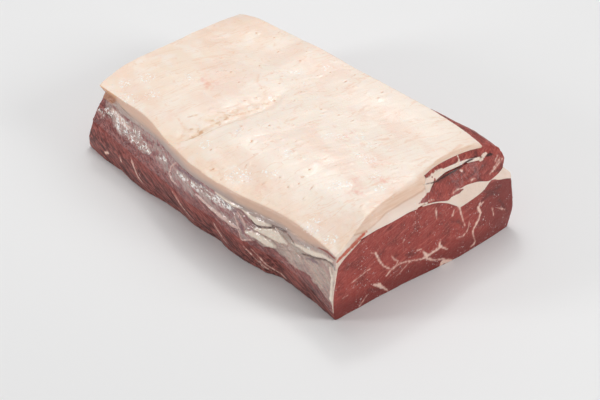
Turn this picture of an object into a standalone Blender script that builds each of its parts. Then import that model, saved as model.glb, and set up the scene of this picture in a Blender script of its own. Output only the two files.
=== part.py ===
# Boneless beef striploin, a slab of loin meat with its fat cap, lying fat side up.
#
# Every layer that shows on a cut face runs the whole length of the piece, from the
# shown cut end to the far one. The layers are lofted on one common lattice, so that
# two layers that lie on each other share the same facets and stay a small gap apart.
# Sizes are in millimetres until the last step, which turns them into metres.

import math

import bmesh
import bpy
import numpy as np

# Overall sizes of the trimmed piece
LENGTH = 345.0
WIDTH = 205.0
GAP = 0.3
THIN_EDGE = 0.6
MM = 0.001
SHARP_ANGLE = 35.0

# Lattice: slices along the length, levels up a side, levels through the fat cap
SLICES = 29
SIDE_LEVELS = 8
SKIN_LEVEL = 2
CAP_LEVELS = 4

# Places across the piece, from the chine side, where the cross-section is drawn
ACROSS = (0, 6, 14, 26, 42, 60, 80, 97, 104, 111, 118, 128, 141, 153, 166, 178, 191, 198, 205)
SKIN_END = 3
SEAM_START = 7
LOBE_START = 8
FINGER_START = 8
STRIP_START = 10
FOLD_TURN = 15
CAP_END = 16

# Heights and thicknesses across the piece, at the shown cut end and at the far end
EYE_TOP_SHOWN = (
    (0, 53.6), (6, 59.4), (14, 63.0), (26, 69.0), (42, 71.2), (60, 70.2), (80, 71.0), (97, 69.0),
    (111, 66.0), (128, 57.8), (141, 47.0), (153, 48.4), (166, 49.8), (178, 55.2), (191, 52.8),
    (198, 51.0), (205, 47.5),
)
EYE_TOP_FAR = (
    (0, 48.0), (14, 51.0), (42, 56.5), (80, 59.5), (104, 58.8), (128, 53.0), (141, 46.5),
    (166, 44.0), (178, 46.5), (205, 42.0),
)
CAP_TOP_SHOWN = (
    (0, 64.0), (14, 69.0), (26, 73.5), (42, 79.8), (60, 82.8), (97, 84.5), (128, 85.2), (153, 85.2),
    (178, 84.4), (191, 82.2), (205, 76.0),
)
CAP_TOP_FAR = (
    (0, 61.0), (14, 64.0), (42, 68.5), (80, 70.2), (128, 71.0), (166, 70.5), (191, 67.5), (205, 62.0),
)
SEAM_SHOWN = (
    (97, 0.8), (118, 0.9), (128, 2.2), (134, 7.0), (141, 15.0), (153, 14.6), (166, 11.4), (178, 1.6),
    (191, 6.4), (198, 10.4), (205, 6.0),
)
SEAM_FAR = ((97, 0.8), (118, 0.9), (128, 1.6), (141, 4.5), (153, 6.0), (166, 5.0), (178, 1.2), (205, 3.4))
CAP_SHOWN = ((104, 13.0), (111, 5.2), (118, 2.5), (128, 2.4), (153, 2.6), (178, 3.0), (205, 3.2))
CAP_FAR = ((104, 8.1), (111, 6.4), (118, 6.0), (153, 7.0), (205, 6.0))
STRIP_SHOWN = ((118, 1.2), (128, 2.6), (141, 3.1), (166, 3.6), (178, 4.4), (205, 5.2))
STRIP_FAR = ((118, 0.9), (141, 1.8), (205, 3.0))
FINGER_SHOWN = ((104, 0.6), (111, 3.6), (118, 3.4), (128, 2.0), (153, 1.9), (178, 1.2))
FINGER_FAR = ((104, 0.6), (111, 1.2), (153, 1.1), (178, 0.8))
FOLD_CRACK = ((104, 0.3), (118, 0.3), (128, 0.5), (140, 0.9), (166, 0.9), (178, 0.6))
FOLD_BULGE = 0.5

# Lines along the length, measured back from the shown cut end
CHINE_FOOT = (
    (0, -0.4), (60, 4.6), (78, 3.4), (90, -1.6), (128, -3.4), (150, -0.2), (175, -2.0), (219, 1.0),
    (258, -2.6), (291, 1.5), (325, 2.5), (345, 5.0),
)
CHINE_EDGE = (
    (0, -1.0), (28, 3.5), (60, 6.0), (85, 4.5), (111, 0.0), (132, -3.0), (182, -3.0), (214, 3.0),
    (246, 11.0), (268, 16.0), (345, 18.5),
)
CHINE_BELLY = 5.0
CHINE_BELLY_SKEW = 0.7
CHINE_LEAN_POWER = 1.3
SKIN_FOOT = ((0, 9.0), (20, 14.0), (60, 20.0), (110, 25.0), (345, 26.0))
FLANK_RISE = (
    (0, 0.0), (25, 2.0), (60, 5.0), (110, 7.5), (165, 9.0), (200, 8.5), (240, 8.0), (262, 6.0),
    (275, 8.5), (310, 8.0), (335, 4.0), (345, 0.0),
)
FLANK_RISE_FROM = 150.0
FLANK_NARROWING = 2.5
FLANK_TUCK = 4.5
FLANK_HEIGHT = 62.0
FLANK_BULGE = 2.5
FLANK_WAVE = 1.2
FLANK_WAVE_REACH = 31.0
FLANK_FOOT_TUCK = 6.0
FLANK_FOOT_HEIGHT = 12.0
FLANK_FOOT_REACH = 50.0
OUTER_SHIFT = 6.5
LIP_SHIFT = 3.0
OUTER_SHIFT_REACH = 130.0

# Cut ends: belly and set-back bevel of the shown face, rounded chine corner of the far one
FACE_BELLY = 6.8
FACE_BELLY_AT = 152.0
FACE_BELLY_REACH = 70.0
END_FOOT_ROUNDING = 1.0
END_FOOT_REACH = 7.0
BEVEL_DEPTH = (
    (0, 1.0), (20, 5.0), (36, 8.5), (60, 12.0), (91, 18.0), (107, 22.0), (146, 26.0), (178, 25.0), (205, 20.0),
)
BEVEL_FADE = 72.0
BEVEL_CURVE = (1.2, 2.2)
BEVEL_CURVE_FROM = 50.0
BEVEL_CURVE_REACH = 60.0
FAR_CORNER_ROUNDING = 2.0
FAR_CORNER_REACH = 9.0
FAR_OVERHANG = 7.0
FAR_OVERHANG_FROM = 300.0
FAR_OVERHANG_REACH = 25.0

# Relief: the crease where the front part of the cap laps over the rear part, which fades out
# half way across, the low ridge across the other half, and low swells
CREASE_LINE = ((0, 226), (15, 212), (31, 199), (60, 191), (96, 184), (140, 186), (205, 190))
CREASE_DEPTH = 3.4
CREASE_REACH = 20.0
CREASE_FADE_FROM = 95.0
CREASE_FADE_REACH = 50.0
RIDGE_AT = 236.0
RIDGE_REACH = 13.0
RIDGE_HEIGHT = 1.4
LIP_HEIGHT = 1.3
SWELL_HEIGHT = 0.7
RELIEF_EDGES = (12.0, 30.0)
SWELL_ALONG = (19.0, 61.0)
SWELL_ACROSS = (47.0, 23.0)

# Skin along the chine side, its wedge over the shoulder at the shown end, and its folds of
# fat and sinew: place back, reach, level, thickness
SKIN_THICKNESS = 1.2
SHOULDER_WEDGE = 6.6
SHOULDER_WEDGE_REACH = 26.0
SKIN_FOLDS = ((104.0, 38.0, 0.86, 3.4), (66.0, 44.0, 0.66, 3.0), (24.0, 26.0, 0.80, 1.6))
FOLD_LEVEL_REACH = 0.22

# Colour and roughness of each sub-part
FINISHES = {
    "eye_muscle": ((0.330, 0.040, 0.035), 0.42),
    "silverskin": ((0.520, 0.400, 0.370), 0.30),
    "seam_fat": ((0.800, 0.660, 0.530), 0.45),
    "flap_muscle": ((0.270, 0.025, 0.025), 0.40),
    "fold_fat": ((0.780, 0.600, 0.500), 0.45),
    "fat_cap": ((0.820, 0.620, 0.480), 0.45),
}


def along(points, place):
    """Smooth curve through control points, without overshoot (monotone cubic)."""
    x, y = np.array(points, dtype=float).T
    slope = np.diff(y) / np.diff(x)
    tangent = np.concatenate(([slope[0]], (slope[:-1] + slope[1:]) / 2, [slope[-1]]))
    for n, rise in enumerate(slope):
        limit = 3 * abs(rise)
        tangent[n] = math.copysign(min(abs(tangent[n]), limit), rise) if rise else 0.0
        tangent[n + 1] = math.copysign(min(abs(tangent[n + 1]), limit), rise) if rise else 0.0
    place = min(max(place, x[0]), x[-1])
    n = min(int(np.searchsorted(x, place, side="right")) - 1, len(slope) - 1)
    step = x[n + 1] - x[n]
    t = (place - x[n]) / step
    start = y[n] * (1 + 2 * t) + tangent[n] * step * t
    end = y[n + 1] * (3 - 2 * t) - tangent[n + 1] * step * (1 - t)
    return start * (1 - t) ** 2 + end * t ** 2


def ease(value):
    """Step from 0 to 1 with soft ends."""
    value = min(max(value, 0.0), 1.0)
    return value * value * (3 - 2 * value)


def bell(distance, reach):
    """Soft bump: 1 at the middle, falling off within about twice the reach."""
    return math.exp(-((distance / reach) ** 2))


def between(shown, far, across, back):
    """Value at a place across the piece, blended from the shown end to the far end."""
    share = back / LENGTH
    return along(shown, across) * (1 - share) + along(far, across) * share


def relief(across, back):
    """Height that the crease, its lip and the low swells add to the cap's top."""
    behind = back - along(CREASE_LINE, across)
    edge = ease(across / RELIEF_EDGES[0]) * ease((WIDTH - across) / RELIEF_EDGES[1])
    fade = ease((across - CREASE_FADE_FROM) / CREASE_FADE_REACH)
    groove = -CREASE_DEPTH * ease(0.5 + behind / CREASE_REACH) * bell(behind - CREASE_REACH / 2, CREASE_REACH)
    groove *= 1 - fade
    lip = LIP_HEIGHT * bell(behind + CREASE_REACH * 0.8, CREASE_REACH * 0.7) * (1 - fade)
    lip += RIDGE_HEIGHT * bell(back - RIDGE_AT, RIDGE_REACH) * fade
    swell = math.sin(back / SWELL_ALONG[0] + across / SWELL_ACROSS[0])
    swell *= math.sin(across / SWELL_ACROSS[1] - back / SWELL_ALONG[1])
    return groove * (0.4 + 0.6 * edge) + edge * (lip + SWELL_HEIGHT * swell)


def cap_top(across, back):
    """Height of the cap's top before its relief."""
    rise = along(FLANK_RISE, back) * ease((across - FLANK_RISE_FROM) / (WIDTH - FLANK_RISE_FROM))
    return between(CAP_TOP_SHOWN, CAP_TOP_FAR, across, back) + rise


def boundaries(station, back):
    """Heights of the layer boundaries at one station, from the eye's top upwards.

    Each layer is a pair (underside, top). A layer that hasn't begun yet is left out, and
    the cap always reaches down to the layer below it.
    """
    across = ACROSS[station]
    top = cap_top(across, back)
    layers = {"eye_muscle": (0.0, between(EYE_TOP_SHOWN, EYE_TOP_FAR, across, back))}
    below = layers["eye_muscle"][1]
    if station <= SKIN_END:
        wedge = SHOULDER_WEDGE * bell(back, SHOULDER_WEDGE_REACH)
        thickness = THIN_EDGE + (SKIN_THICKNESS - THIN_EDGE + wedge) * (1 - station / SKIN_END)
        layers["silverskin"] = (below + GAP, below + GAP + thickness)
        below += GAP + thickness
    if station >= SEAM_START:
        seam = between(SEAM_SHOWN, SEAM_FAR, across, back)
        layers["seam_fat"] = (below + GAP, below + GAP + seam)
        below += GAP + seam
    if station >= LOBE_START:
        ceiling = top - between(CAP_SHOWN, CAP_FAR, across, back) - GAP
        cap_floor = ceiling
        if station >= STRIP_START:
            strip = between(STRIP_SHOWN, STRIP_FAR, across, back)
            layers["strip"] = (ceiling - strip, ceiling)
            ceiling -= strip + GAP
        if FINGER_START <= station <= FOLD_TURN:
            finger = between(FINGER_SHOWN, FINGER_FAR, across, back)
            layers["fold_fat"] = (ceiling - finger, ceiling)
            ceiling -= finger + along(FOLD_CRACK, across)
        layers["lobe"] = (below + GAP, ceiling)
        below = cap_floor
    layers["fat_cap"] = (below + GAP, top + relief(across, back))
    return layers


def chine_side(height, back, edge_height, inset=0.0):
    """Place across of the chine side's surface: foot, belly and upper edge."""
    share = min(max(height / edge_height, 0.0), 1.2)
    foot = along(CHINE_FOOT, back)
    edge = along(CHINE_EDGE, back) + inset
    belly = CHINE_BELLY * math.sin(math.pi * min(share, 1.0) ** CHINE_BELLY_SKEW)
    return foot + (edge - foot) * share ** CHINE_LEAN_POWER - belly


def flank_side(height, back):
    """Place across of the flank side's surface, which leans in towards the top."""
    tuck = FLANK_TUCK * (height / FLANK_HEIGHT) ** 2
    foot = FLANK_FOOT_TUCK * bell(height, FLANK_FOOT_HEIGHT) * bell(back, FLANK_FOOT_REACH)
    wave = FLANK_WAVE * math.sin(back / FLANK_WAVE_REACH)
    return WIDTH + FLANK_BULGE - tuck - foot - FLANK_NARROWING * (back / LENGTH) ** 2 + wave


def place(back, across, height, chine):
    """Point of the piece in millimetres: X towards the shown end, Y to the flank, Z up."""
    flank = flank_side(height, back)
    y = chine + (flank - chine) * across / WIDTH
    belly = FACE_BELLY * bell(across - FACE_BELLY_AT, FACE_BELLY_REACH) * (1 - ease(height / FLANK_HEIGHT))
    eye = along(EYE_TOP_SHOWN, across)
    cap = along(CAP_TOP_SHOWN, across)
    steeper = ease((across - BEVEL_CURVE_FROM) / BEVEL_CURVE_REACH)
    power = BEVEL_CURVE[0] + (BEVEL_CURVE[1] - BEVEL_CURVE[0]) * steeper
    bevel = along(BEVEL_DEPTH, across) * min(max((height - eye) / (cap - eye), 0.0), 1.1) ** power
    near = max(0.0, 1 - back / BEVEL_FADE) ** 2
    far = (back / LENGTH) ** 8
    corner = FAR_CORNER_ROUNDING * bell(across, FAR_CORNER_REACH) * far
    foot = END_FOOT_ROUNDING * bell(height, END_FOOT_REACH)
    shift = (bevel - belly + foot) * near - corner - foot * far
    return (-(back + shift), y, height)


def station_across(station, back):
    """The cap's outer stations draw nearer to the flank away from the shown end."""
    across = ACROSS[station]
    if station == CAP_END:
        return across + OUTER_SHIFT * ease(back / OUTER_SHIFT_REACH)
    if station == CAP_END + 1:
        return across + LIP_SHIFT * ease(back / OUTER_SHIFT_REACH)
    return across


def skin_thickness(level, back):
    """Thickness of the skin on the chine side, at a level from its foot (0) to the edge (1)."""
    folds = sum(
        height * bell(back - centre, reach * 0.6) * bell(level - at, FOLD_LEVEL_REACH)
        for centre, reach, at, height in SKIN_FOLDS
    )
    return THIN_EDGE + (SKIN_THICKNESS - THIN_EDGE) * ease(level * 3) + folds


def slice_places():
    """Places of the slices, from the shown cut end to the far one."""
    return [LENGTH * n / (SLICES - 1) for n in range(SLICES)]


def overhang(back):
    """How far the lean is cut back under the cap near the far end."""
    return FAR_OVERHANG * ease((back - FAR_OVERHANG_FROM) / FAR_OVERHANG_REACH)


def side_height(level, back, edge_height):
    """Height of a level on the chine side; level SKIN_LEVEL is the skin's lower edge."""
    foot = along(SKIN_FOOT, back)
    if level <= SKIN_LEVEL:
        return foot * level / SKIN_LEVEL
    return foot + (edge_height - foot) * (level - SKIN_LEVEL) / (SIDE_LEVELS - 1 - SKIN_LEVEL)


def skin_share(level):
    """Share of the skin's height at a level, from its lower edge to its upper one."""
    return (level - SKIN_LEVEL) / (SIDE_LEVELS - 1 - SKIN_LEVEL)


def eye_grid():
    """Eye muscle: flat underside, bellied chine side cut back under the skin."""
    grid = []
    for back in slice_places():
        edge_height = boundaries(0, back)["eye_muscle"][1]
        columns = []
        for station in range(len(ACROSS)):
            top = boundaries(station, back)["eye_muscle"][1]
            column = []
            for level in range(SIDE_LEVELS):
                side = side_height(level, back, edge_height)
                height = top * side / edge_height
                chine = chine_side(side, back, edge_height, overhang(back))
                if level >= SKIN_LEVEL:
                    chine += skin_thickness(skin_share(level), back) + GAP
                column.append(place(back, station_across(station, back), height, chine))
            columns.append(column)
        grid.append(columns)
    return grid


def skin_grid():
    """Silverskin: up the chine side from its lower edge, then over the eye's shoulder."""
    grid = []
    for back in slice_places():
        edge_height = boundaries(0, back)["eye_muscle"][1]
        path = []
        for level in range(SKIN_LEVEL, SIDE_LEVELS):
            height = side_height(level, back, edge_height)
            outer = chine_side(height, back, edge_height, overhang(back))
            inner = outer + skin_thickness(skin_share(level), back)
            rise = GAP if level == SIDE_LEVELS - 1 else 0.0
            cover = boundaries(0, back)["silverskin"][1] - height if rise else 0.0
            path.append((place(back, 0, height + rise, inner), place(back, 0, height + cover, outer)))
        chine = path_edge(back, edge_height)
        for station in range(1, SKIN_END + 1):
            under, over = boundaries(station, back)["silverskin"]
            across = station_across(station, back)
            path.append((place(back, across, under, chine), place(back, across, over, chine)))
        grid.append(path)
    return grid


def path_edge(back, edge_height):
    """Chine-side edge that the layers above the eye share at the eye's top."""
    edge = chine_side(edge_height, back, edge_height, overhang(back))
    return edge + skin_thickness(1.0, back) + GAP


def layer_grid(name, first, last):
    """A plain layer between its underside and top, over a run of stations."""
    grid = []
    for back in slice_places():
        chine = path_edge(back, boundaries(0, back)["eye_muscle"][1])
        columns = []
        for station in range(first, last + 1):
            across = station_across(station, back)
            columns.append([place(back, across, height, chine) for height in boundaries(station, back)[name]])
        grid.append(columns)
    return grid


def cap_grid():
    """Fat cap: its cut chine side stands upright, and overhangs the lean at the far end."""
    grid = []
    for back in slice_places():
        edge_height = boundaries(0, back)["eye_muscle"][1]
        shared = path_edge(back, edge_height)
        upper = along(CHINE_EDGE, back)
        columns = []
        for station in range(CAP_END + 1):
            under, over = boundaries(station, back)["fat_cap"]
            column = []
            for level in range(CAP_LEVELS):
                share = level / (CAP_LEVELS - 1)
                foot = chine_side(edge_height, back, edge_height, overhang(back)) if station == 0 else shared
                chine = foot + (upper - foot) * share
                height = under + (over - under) * share
                column.append(place(back, station_across(station, back), height, chine))
            columns.append(column)
        grid.append(columns)
    return grid


def fold_turn(back, chine):
    """Pairs of (inner, outer) points where the flap muscle turns back at the flank."""
    last = boundaries(CAP_END, back)
    lip = boundaries(CAP_END + 1, back)
    finger = boundaries(FOLD_TURN, back)["fold_fat"]
    lobe = boundaries(FOLD_TURN, back)["lobe"]
    start = station_across(CAP_END, back)
    high = last["strip"][1]
    low = lip["lobe"][0]
    ceiling = finger[1] + GAP
    floor = lobe[1]
    tip = ACROSS[FOLD_TURN]
    outer = (
        (start, high),
        (start + 0.60 * (WIDTH - start), high - 0.12 * (high - low)),
        (WIDTH + FOLD_BULGE, high - 0.42 * (high - low)),
        (WIDTH + FOLD_BULGE, high - 0.76 * (high - low)),
        (station_across(CAP_END + 1, back), low),
        (start, last["lobe"][0]),
    )
    inner = (
        (tip + 2.0, ceiling),
        (tip + 3.5, ceiling - 0.15 * (ceiling - floor)),
        (tip + 4.2, ceiling - 0.40 * (ceiling - floor)),
        (tip + 4.2, ceiling - 0.70 * (ceiling - floor)),
        (tip + 3.5, floor + 0.05 * (ceiling - floor)),
        (tip + 2.0, floor),
    )
    return [
        (place(back, across_in, height_in, chine), place(back, across_out, height_out, chine))
        for (across_in, height_in), (across_out, height_out) in zip(inner, outer)
    ]


def flap_grid():
    """Flap muscle, folded on itself: thin upper strip, turn at the flank, thick lower lobe."""
    grid = []
    for back in slice_places():
        chine = path_edge(back, boundaries(0, back)["eye_muscle"][1])
        path = []
        for station in range(STRIP_START, FOLD_TURN + 1):
            under, over = boundaries(station, back)["strip"]
            across = station_across(station, back)
            path.append((place(back, across, under, chine), place(back, across, over, chine)))
        path += fold_turn(back, chine)
        for station in range(FOLD_TURN, LOBE_START - 1, -1):
            under, over = boundaries(station, back)["lobe"]
            across = station_across(station, back)
            path.append((place(back, across, over, chine), place(back, across, under, chine)))
        grid.append(path)
    return grid


def block_object(name, grid, flat_base=False, falling_from=None):
    """Closed body from a lattice of points [slice][column][level].

    Each quad is split along one fixed diagonal, so that the facets of two layers match.
    Columns from falling_from on run back towards the chine, and their diagonal is turned.
    """
    points = np.array(grid)
    slices, columns, levels = points.shape[:3]
    mesh = bmesh.new()
    corner = {}

    def vertex(i, j, k):
        if (i, j, k) not in corner:
            corner[i, j, k] = mesh.verts.new(points[i, j, k] * MM)
        return corner[i, j, k]

    def quad(a, b, c, d, turned=False):
        a, b, c, d = (vertex(*index) for index in (a, b, c, d))
        halves = ((a, b, d), (b, c, d)) if turned else ((a, b, c), (a, c, d))
        for half in halves:
            mesh.faces.new(half)

    for i in range(slices - 1):
        for j in range(columns - 1):
            turned = falling_from is not None and j >= falling_from
            for k in (0, levels - 1):
                if k or not flat_base:
                    quad((i, j, k), (i + 1, j, k), (i + 1, j + 1, k), (i, j + 1, k), turned)
        for k in range(levels - 1):
            for j in (0, columns - 1):
                quad((i, j, k), (i + 1, j, k), (i + 1, j, k + 1), (i, j, k + 1))
    for j in range(columns - 1):
        for k in range(levels - 1):
            for i in (0, slices - 1):
                quad((i, j, k), (i, j + 1, k), (i, j + 1, k + 1), (i, j, k + 1))
    if flat_base:
        ring = [vertex(i, 0, 0) for i in range(slices)]
        ring += [vertex(slices - 1, j, 0) for j in range(1, columns)]
        ring += [vertex(i, columns - 1, 0) for i in range(slices - 2, -1, -1)]
        ring += [vertex(0, j, 0) for j in range(columns - 2, 0, -1)]
        mesh.faces.new(ring)
    bmesh.ops.recalc_face_normals(mesh, faces=mesh.faces)
    data = bpy.data.meshes.new(name)
    mesh.to_mesh(data)
    mesh.free()
    data.shade_smooth()
    data.set_sharp_from_angle(angle=math.radians(SHARP_ANGLE))
    data.materials.append(finish(name))
    body = bpy.data.objects.new(name, data)
    bpy.context.scene.collection.objects.link(body)
    return body


def finish(name):
    """Material of one sub-part."""
    colour, roughness = FINISHES[name]
    material = bpy.data.materials.new(name)
    material.use_nodes = True
    shader = material.node_tree.nodes["Principled BSDF"]
    shader.inputs["Base Color"].default_value = (*colour, 1.0)
    shader.inputs["Roughness"].default_value = roughness
    shader.inputs["Metallic"].default_value = 0.0
    return material


def centred(grids):
    """Shift every lattice so that the origin is under the middle of the piece's box."""
    cloud = np.vstack([np.array(grid).reshape(-1, 3) for grid in grids.values()])
    lowest = cloud.min(axis=0)
    highest = cloud.max(axis=0)
    middle = np.array([(lowest[0] + highest[0]) / 2, (lowest[1] + highest[1]) / 2, lowest[2]])
    return {name: np.array(grid) - middle for name, grid in grids.items()}


for item in list(bpy.data.objects):
    bpy.data.objects.remove(item, do_unlink=True)

LAYERS = centred({
    "eye_muscle": eye_grid(),
    "silverskin": skin_grid(),
    "seam_fat": layer_grid("seam_fat", SEAM_START, len(ACROSS) - 1),
    "flap_muscle": flap_grid(),
    "fold_fat": layer_grid("fold_fat", FINGER_START, FOLD_TURN),
    "fat_cap": cap_grid(),
})
FALLING = FOLD_TURN - STRIP_START + 6
for layer, lattice in LAYERS.items():
    block_object(
        layer,
        lattice,
        flat_base=layer == "eye_muscle",
        falling_from=FALLING if layer == "flap_muscle" else None,
    )
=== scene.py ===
# %% [markdown]
# # Dressing a boneless beef striploin
#
# A striploin is the long muscle that lies beside the backbone, sold as one slab with its fat
# cap left on. Six layers are already built as plain solids: the eye muscle, the silverskin
# on the side where the bones were, a seam of fat, a flap of muscle folded on itself, the
# white fat inside that fold, and the fat cap. Each solid is right in size and place, but its
# surface is made of large flat facets. This lesson refines each of them, gives it the relief
# that raw meat has, and paints it with shader nodes.

# %% Load the fixed frame
import math

import bmesh
import bpy
import numpy as np
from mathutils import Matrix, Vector, noise
from mathutils.bvhtree import BVHTree


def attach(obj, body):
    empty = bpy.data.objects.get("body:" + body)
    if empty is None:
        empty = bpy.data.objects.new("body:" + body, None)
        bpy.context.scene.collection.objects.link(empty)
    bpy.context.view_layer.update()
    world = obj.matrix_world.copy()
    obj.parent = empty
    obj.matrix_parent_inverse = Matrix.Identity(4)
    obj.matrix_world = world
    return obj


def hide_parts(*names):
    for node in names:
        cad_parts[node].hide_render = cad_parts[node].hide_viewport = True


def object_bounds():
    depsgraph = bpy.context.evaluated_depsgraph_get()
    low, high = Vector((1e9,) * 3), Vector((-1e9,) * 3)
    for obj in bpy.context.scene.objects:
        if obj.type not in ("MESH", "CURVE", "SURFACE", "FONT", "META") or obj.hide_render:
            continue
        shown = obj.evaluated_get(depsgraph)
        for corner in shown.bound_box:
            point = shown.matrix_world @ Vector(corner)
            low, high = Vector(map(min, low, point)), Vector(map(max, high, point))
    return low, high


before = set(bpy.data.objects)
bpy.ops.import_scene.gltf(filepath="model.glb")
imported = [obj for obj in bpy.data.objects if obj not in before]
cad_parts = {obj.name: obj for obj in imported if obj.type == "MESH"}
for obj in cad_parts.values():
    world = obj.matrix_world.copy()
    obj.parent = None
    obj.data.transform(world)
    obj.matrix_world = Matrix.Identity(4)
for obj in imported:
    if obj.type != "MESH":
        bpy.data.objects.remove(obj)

CAD_BOX = [list(corner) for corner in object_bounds()]
MM = 0.001
FRONT_X = CAD_BOX[1][0]
CHINE_Y = CAD_BOX[0][1]
print("frame box in mm:", [[round(value / MM, 1) for value in corner] for corner in CAD_BOX])

# %% [markdown]
# ## Loin coordinates
#
# A butcher would say how far back from the cut end a mark is, how far across from the chine
# side (where the backbone was), and how high. Every place below is given in those three
# numbers, in millimetres, so that the lists read like notes about the meat.


# %% Places on the loin
def loin(points):
    """Back from the cut end, across from the chine side, and height, in mm."""
    return np.column_stack((FRONT_X - points[:, 0], points[:, 1] - CHINE_Y, points[:, 2])) / MM


def ease(value):
    """Step from 0 to 1 with soft ends."""
    value = np.clip(value, 0.0, 1.0)
    return value * value * (3 - 2 * value)


def ramp(value, start, end):
    """0 at start, 1 at end, with soft ends; start may be the larger of the two."""
    return ease((value - start) / (end - start))


def bell(distance, reach):
    """Soft bump of height 1."""
    return np.exp(-((distance / reach) ** 2))


def follow(route, place):
    """Height of a route of (place, value) points at each place."""
    return np.interp(place, route[:, 0], route[:, 1])


# %% [markdown]
# ## Camera
#
# The photograph is taken with a long lens, from above the chine side's front corner. A long
# lens keeps the far end almost as large as the near one, which is why its focal length
# matters as much as its direction.

# %% Camera
LENS_MM = 118.87
TILT_DOWN = math.radians(35.383)
HEADING = math.radians(48.10)
VIEW_CENTRE = Vector((0.0217, -0.0082, 0.0))
VIEW_DISTANCE = 1.7686

towards_camera = Vector((
    math.sin(HEADING) * math.cos(TILT_DOWN),
    -math.cos(HEADING) * math.cos(TILT_DOWN),
    math.sin(TILT_DOWN),
))
camera = bpy.data.objects.new("camera", bpy.data.cameras.new("camera"))
camera.data.lens = LENS_MM
camera.location = VIEW_CENTRE + towards_camera * VIEW_DISTANCE
camera.rotation_euler = (math.pi / 2 - TILT_DOWN, 0.0, HEADING)
bpy.context.scene.collection.objects.link(camera)
bpy.context.scene.camera = camera
print("camera at", [round(value, 3) for value in camera.location])

# %% [markdown]
# ## Light and floor
#
# Raw meat looks wet because it mirrors bright lamps in tiny sparks. One wide softbox hangs
# above and behind and one lights the cut face. Two small ones stand where the wet top and the
# silverskin mirror them towards the camera, and make some of the sparks; the others are
# painted highlights, white flecks and white beads laid on by the finishes. The floor and the
# world are pale and plain. The Standard view keeps the colours of the shaders as they are
# mixed, where the usual one would wash out the reds.


# %% Studio
def softbox(name, place, target, size, power):
    """A square area light that looks at a point."""
    light = bpy.data.lights.new(name, "AREA")
    light.size = size
    light.energy = power
    lamp = bpy.data.objects.new(name, light)
    lamp.location = place
    lamp.rotation_euler = (Vector(target) - Vector(place)).to_track_quat("-Z", "Y").to_euler()
    bpy.context.scene.collection.objects.link(lamp)


softbox("key_softbox", (-0.5, 0.4, 1.35), (0.0, 0.0, 0.05), 0.9, 6.7)
softbox("face_softbox", (1.3, 0.55, 0.8), (0.15, 0.0, 0.04), 0.6, 9.6)
softbox("side_softbox", (-0.75, -1.4, 0.55), (0.0, -0.05, 0.04), 0.4, 9.2)
softbox("glint_softbox", (-0.62, 0.55, 1.15), (0.0, 0.0, 0.08), 0.2, 2.2)

WORLD_STRENGTH = 0.37
world = bpy.data.worlds.new("studio")
world.use_nodes = True
background = world.node_tree.nodes["Background"].inputs
background["Color"].default_value = (1.0, 1.0, 1.0, 1.0)
background["Strength"].default_value = WORLD_STRENGTH
bpy.context.scene.world = world
bpy.context.scene.view_settings.view_transform = "Standard"

FLOOR_SIZE, FLOOR_HEIGHT = 6.0, -0.0004
FLOOR_GREY, FLOOR_ROUGHNESS = (0.84, 0.84, 0.84, 1.0), 0.6
bpy.ops.mesh.primitive_plane_add(size=FLOOR_SIZE, location=(0.0, 0.0, FLOOR_HEIGHT))
floor = bpy.context.object
floor.name = "floor"
floor_paint = bpy.data.materials.new("pale_floor")
floor_paint.use_nodes = True
floor_shader = floor_paint.node_tree.nodes["Principled BSDF"].inputs
floor_shader["Base Color"].default_value = FLOOR_GREY
floor_shader["Roughness"].default_value = FLOOR_ROUGHNESS
floor.data.materials.append(floor_paint)

# %% [markdown]
# ## From facets to a fine skin
#
# A subdivision modifier would round off the crisp edges where a knife has cut. Here each
# layer is refined by hand instead: long edges are halved until the triangles are one to two
# millimetres wide, and then every point moves towards the middle of its neighbours. A point
# on a sharp edge listens only to its neighbours on that edge, so the edge gets smooth along
# its length and stays crisp across. Faces that lie against another layer can't be seen, so
# they stay coarse.

# %% A layer that is being worked
SHOWN, TOUCHING, UNDER, GAP = 0, 1, 2, 3
SHARP_COSINE = math.cos(math.radians(33))
# Distances in metres
WELD = 0.00001
TINY = 1e-15
CRACK = 0.0013
CLOSE = 0.00045
PRESS = 0.00017
FILL_REACH = 0.005
FILL_LEFT = 0.00012
OPEN_AIR = 1.0
# Longest edges in mm
FILL_EDGE = 3.0
UNDER_EDGE = 60.0
# Parts of a unit normal
LENGTHWISE = 0.6
DOWNWARDS = -0.9


def nearest_layer(start, way, others):
    """Distance along a ray to the nearest other layer, or a metre of open air."""
    hits = [other.tree.ray_cast(Vector(start), Vector(way), FILL_REACH)[3] for other in others]
    return min([reach for reach in hits if reach is not None], default=OPEN_AIR)


def units(rows):
    """The rows, each made one long."""
    return rows / np.maximum(np.linalg.norm(rows, axis=1, keepdims=True), TINY)


def add_up(index, rows, count):
    """Sum of the rows that share an index."""
    return np.column_stack([np.bincount(index, weights=column, minlength=count) for column in rows.T])


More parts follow.
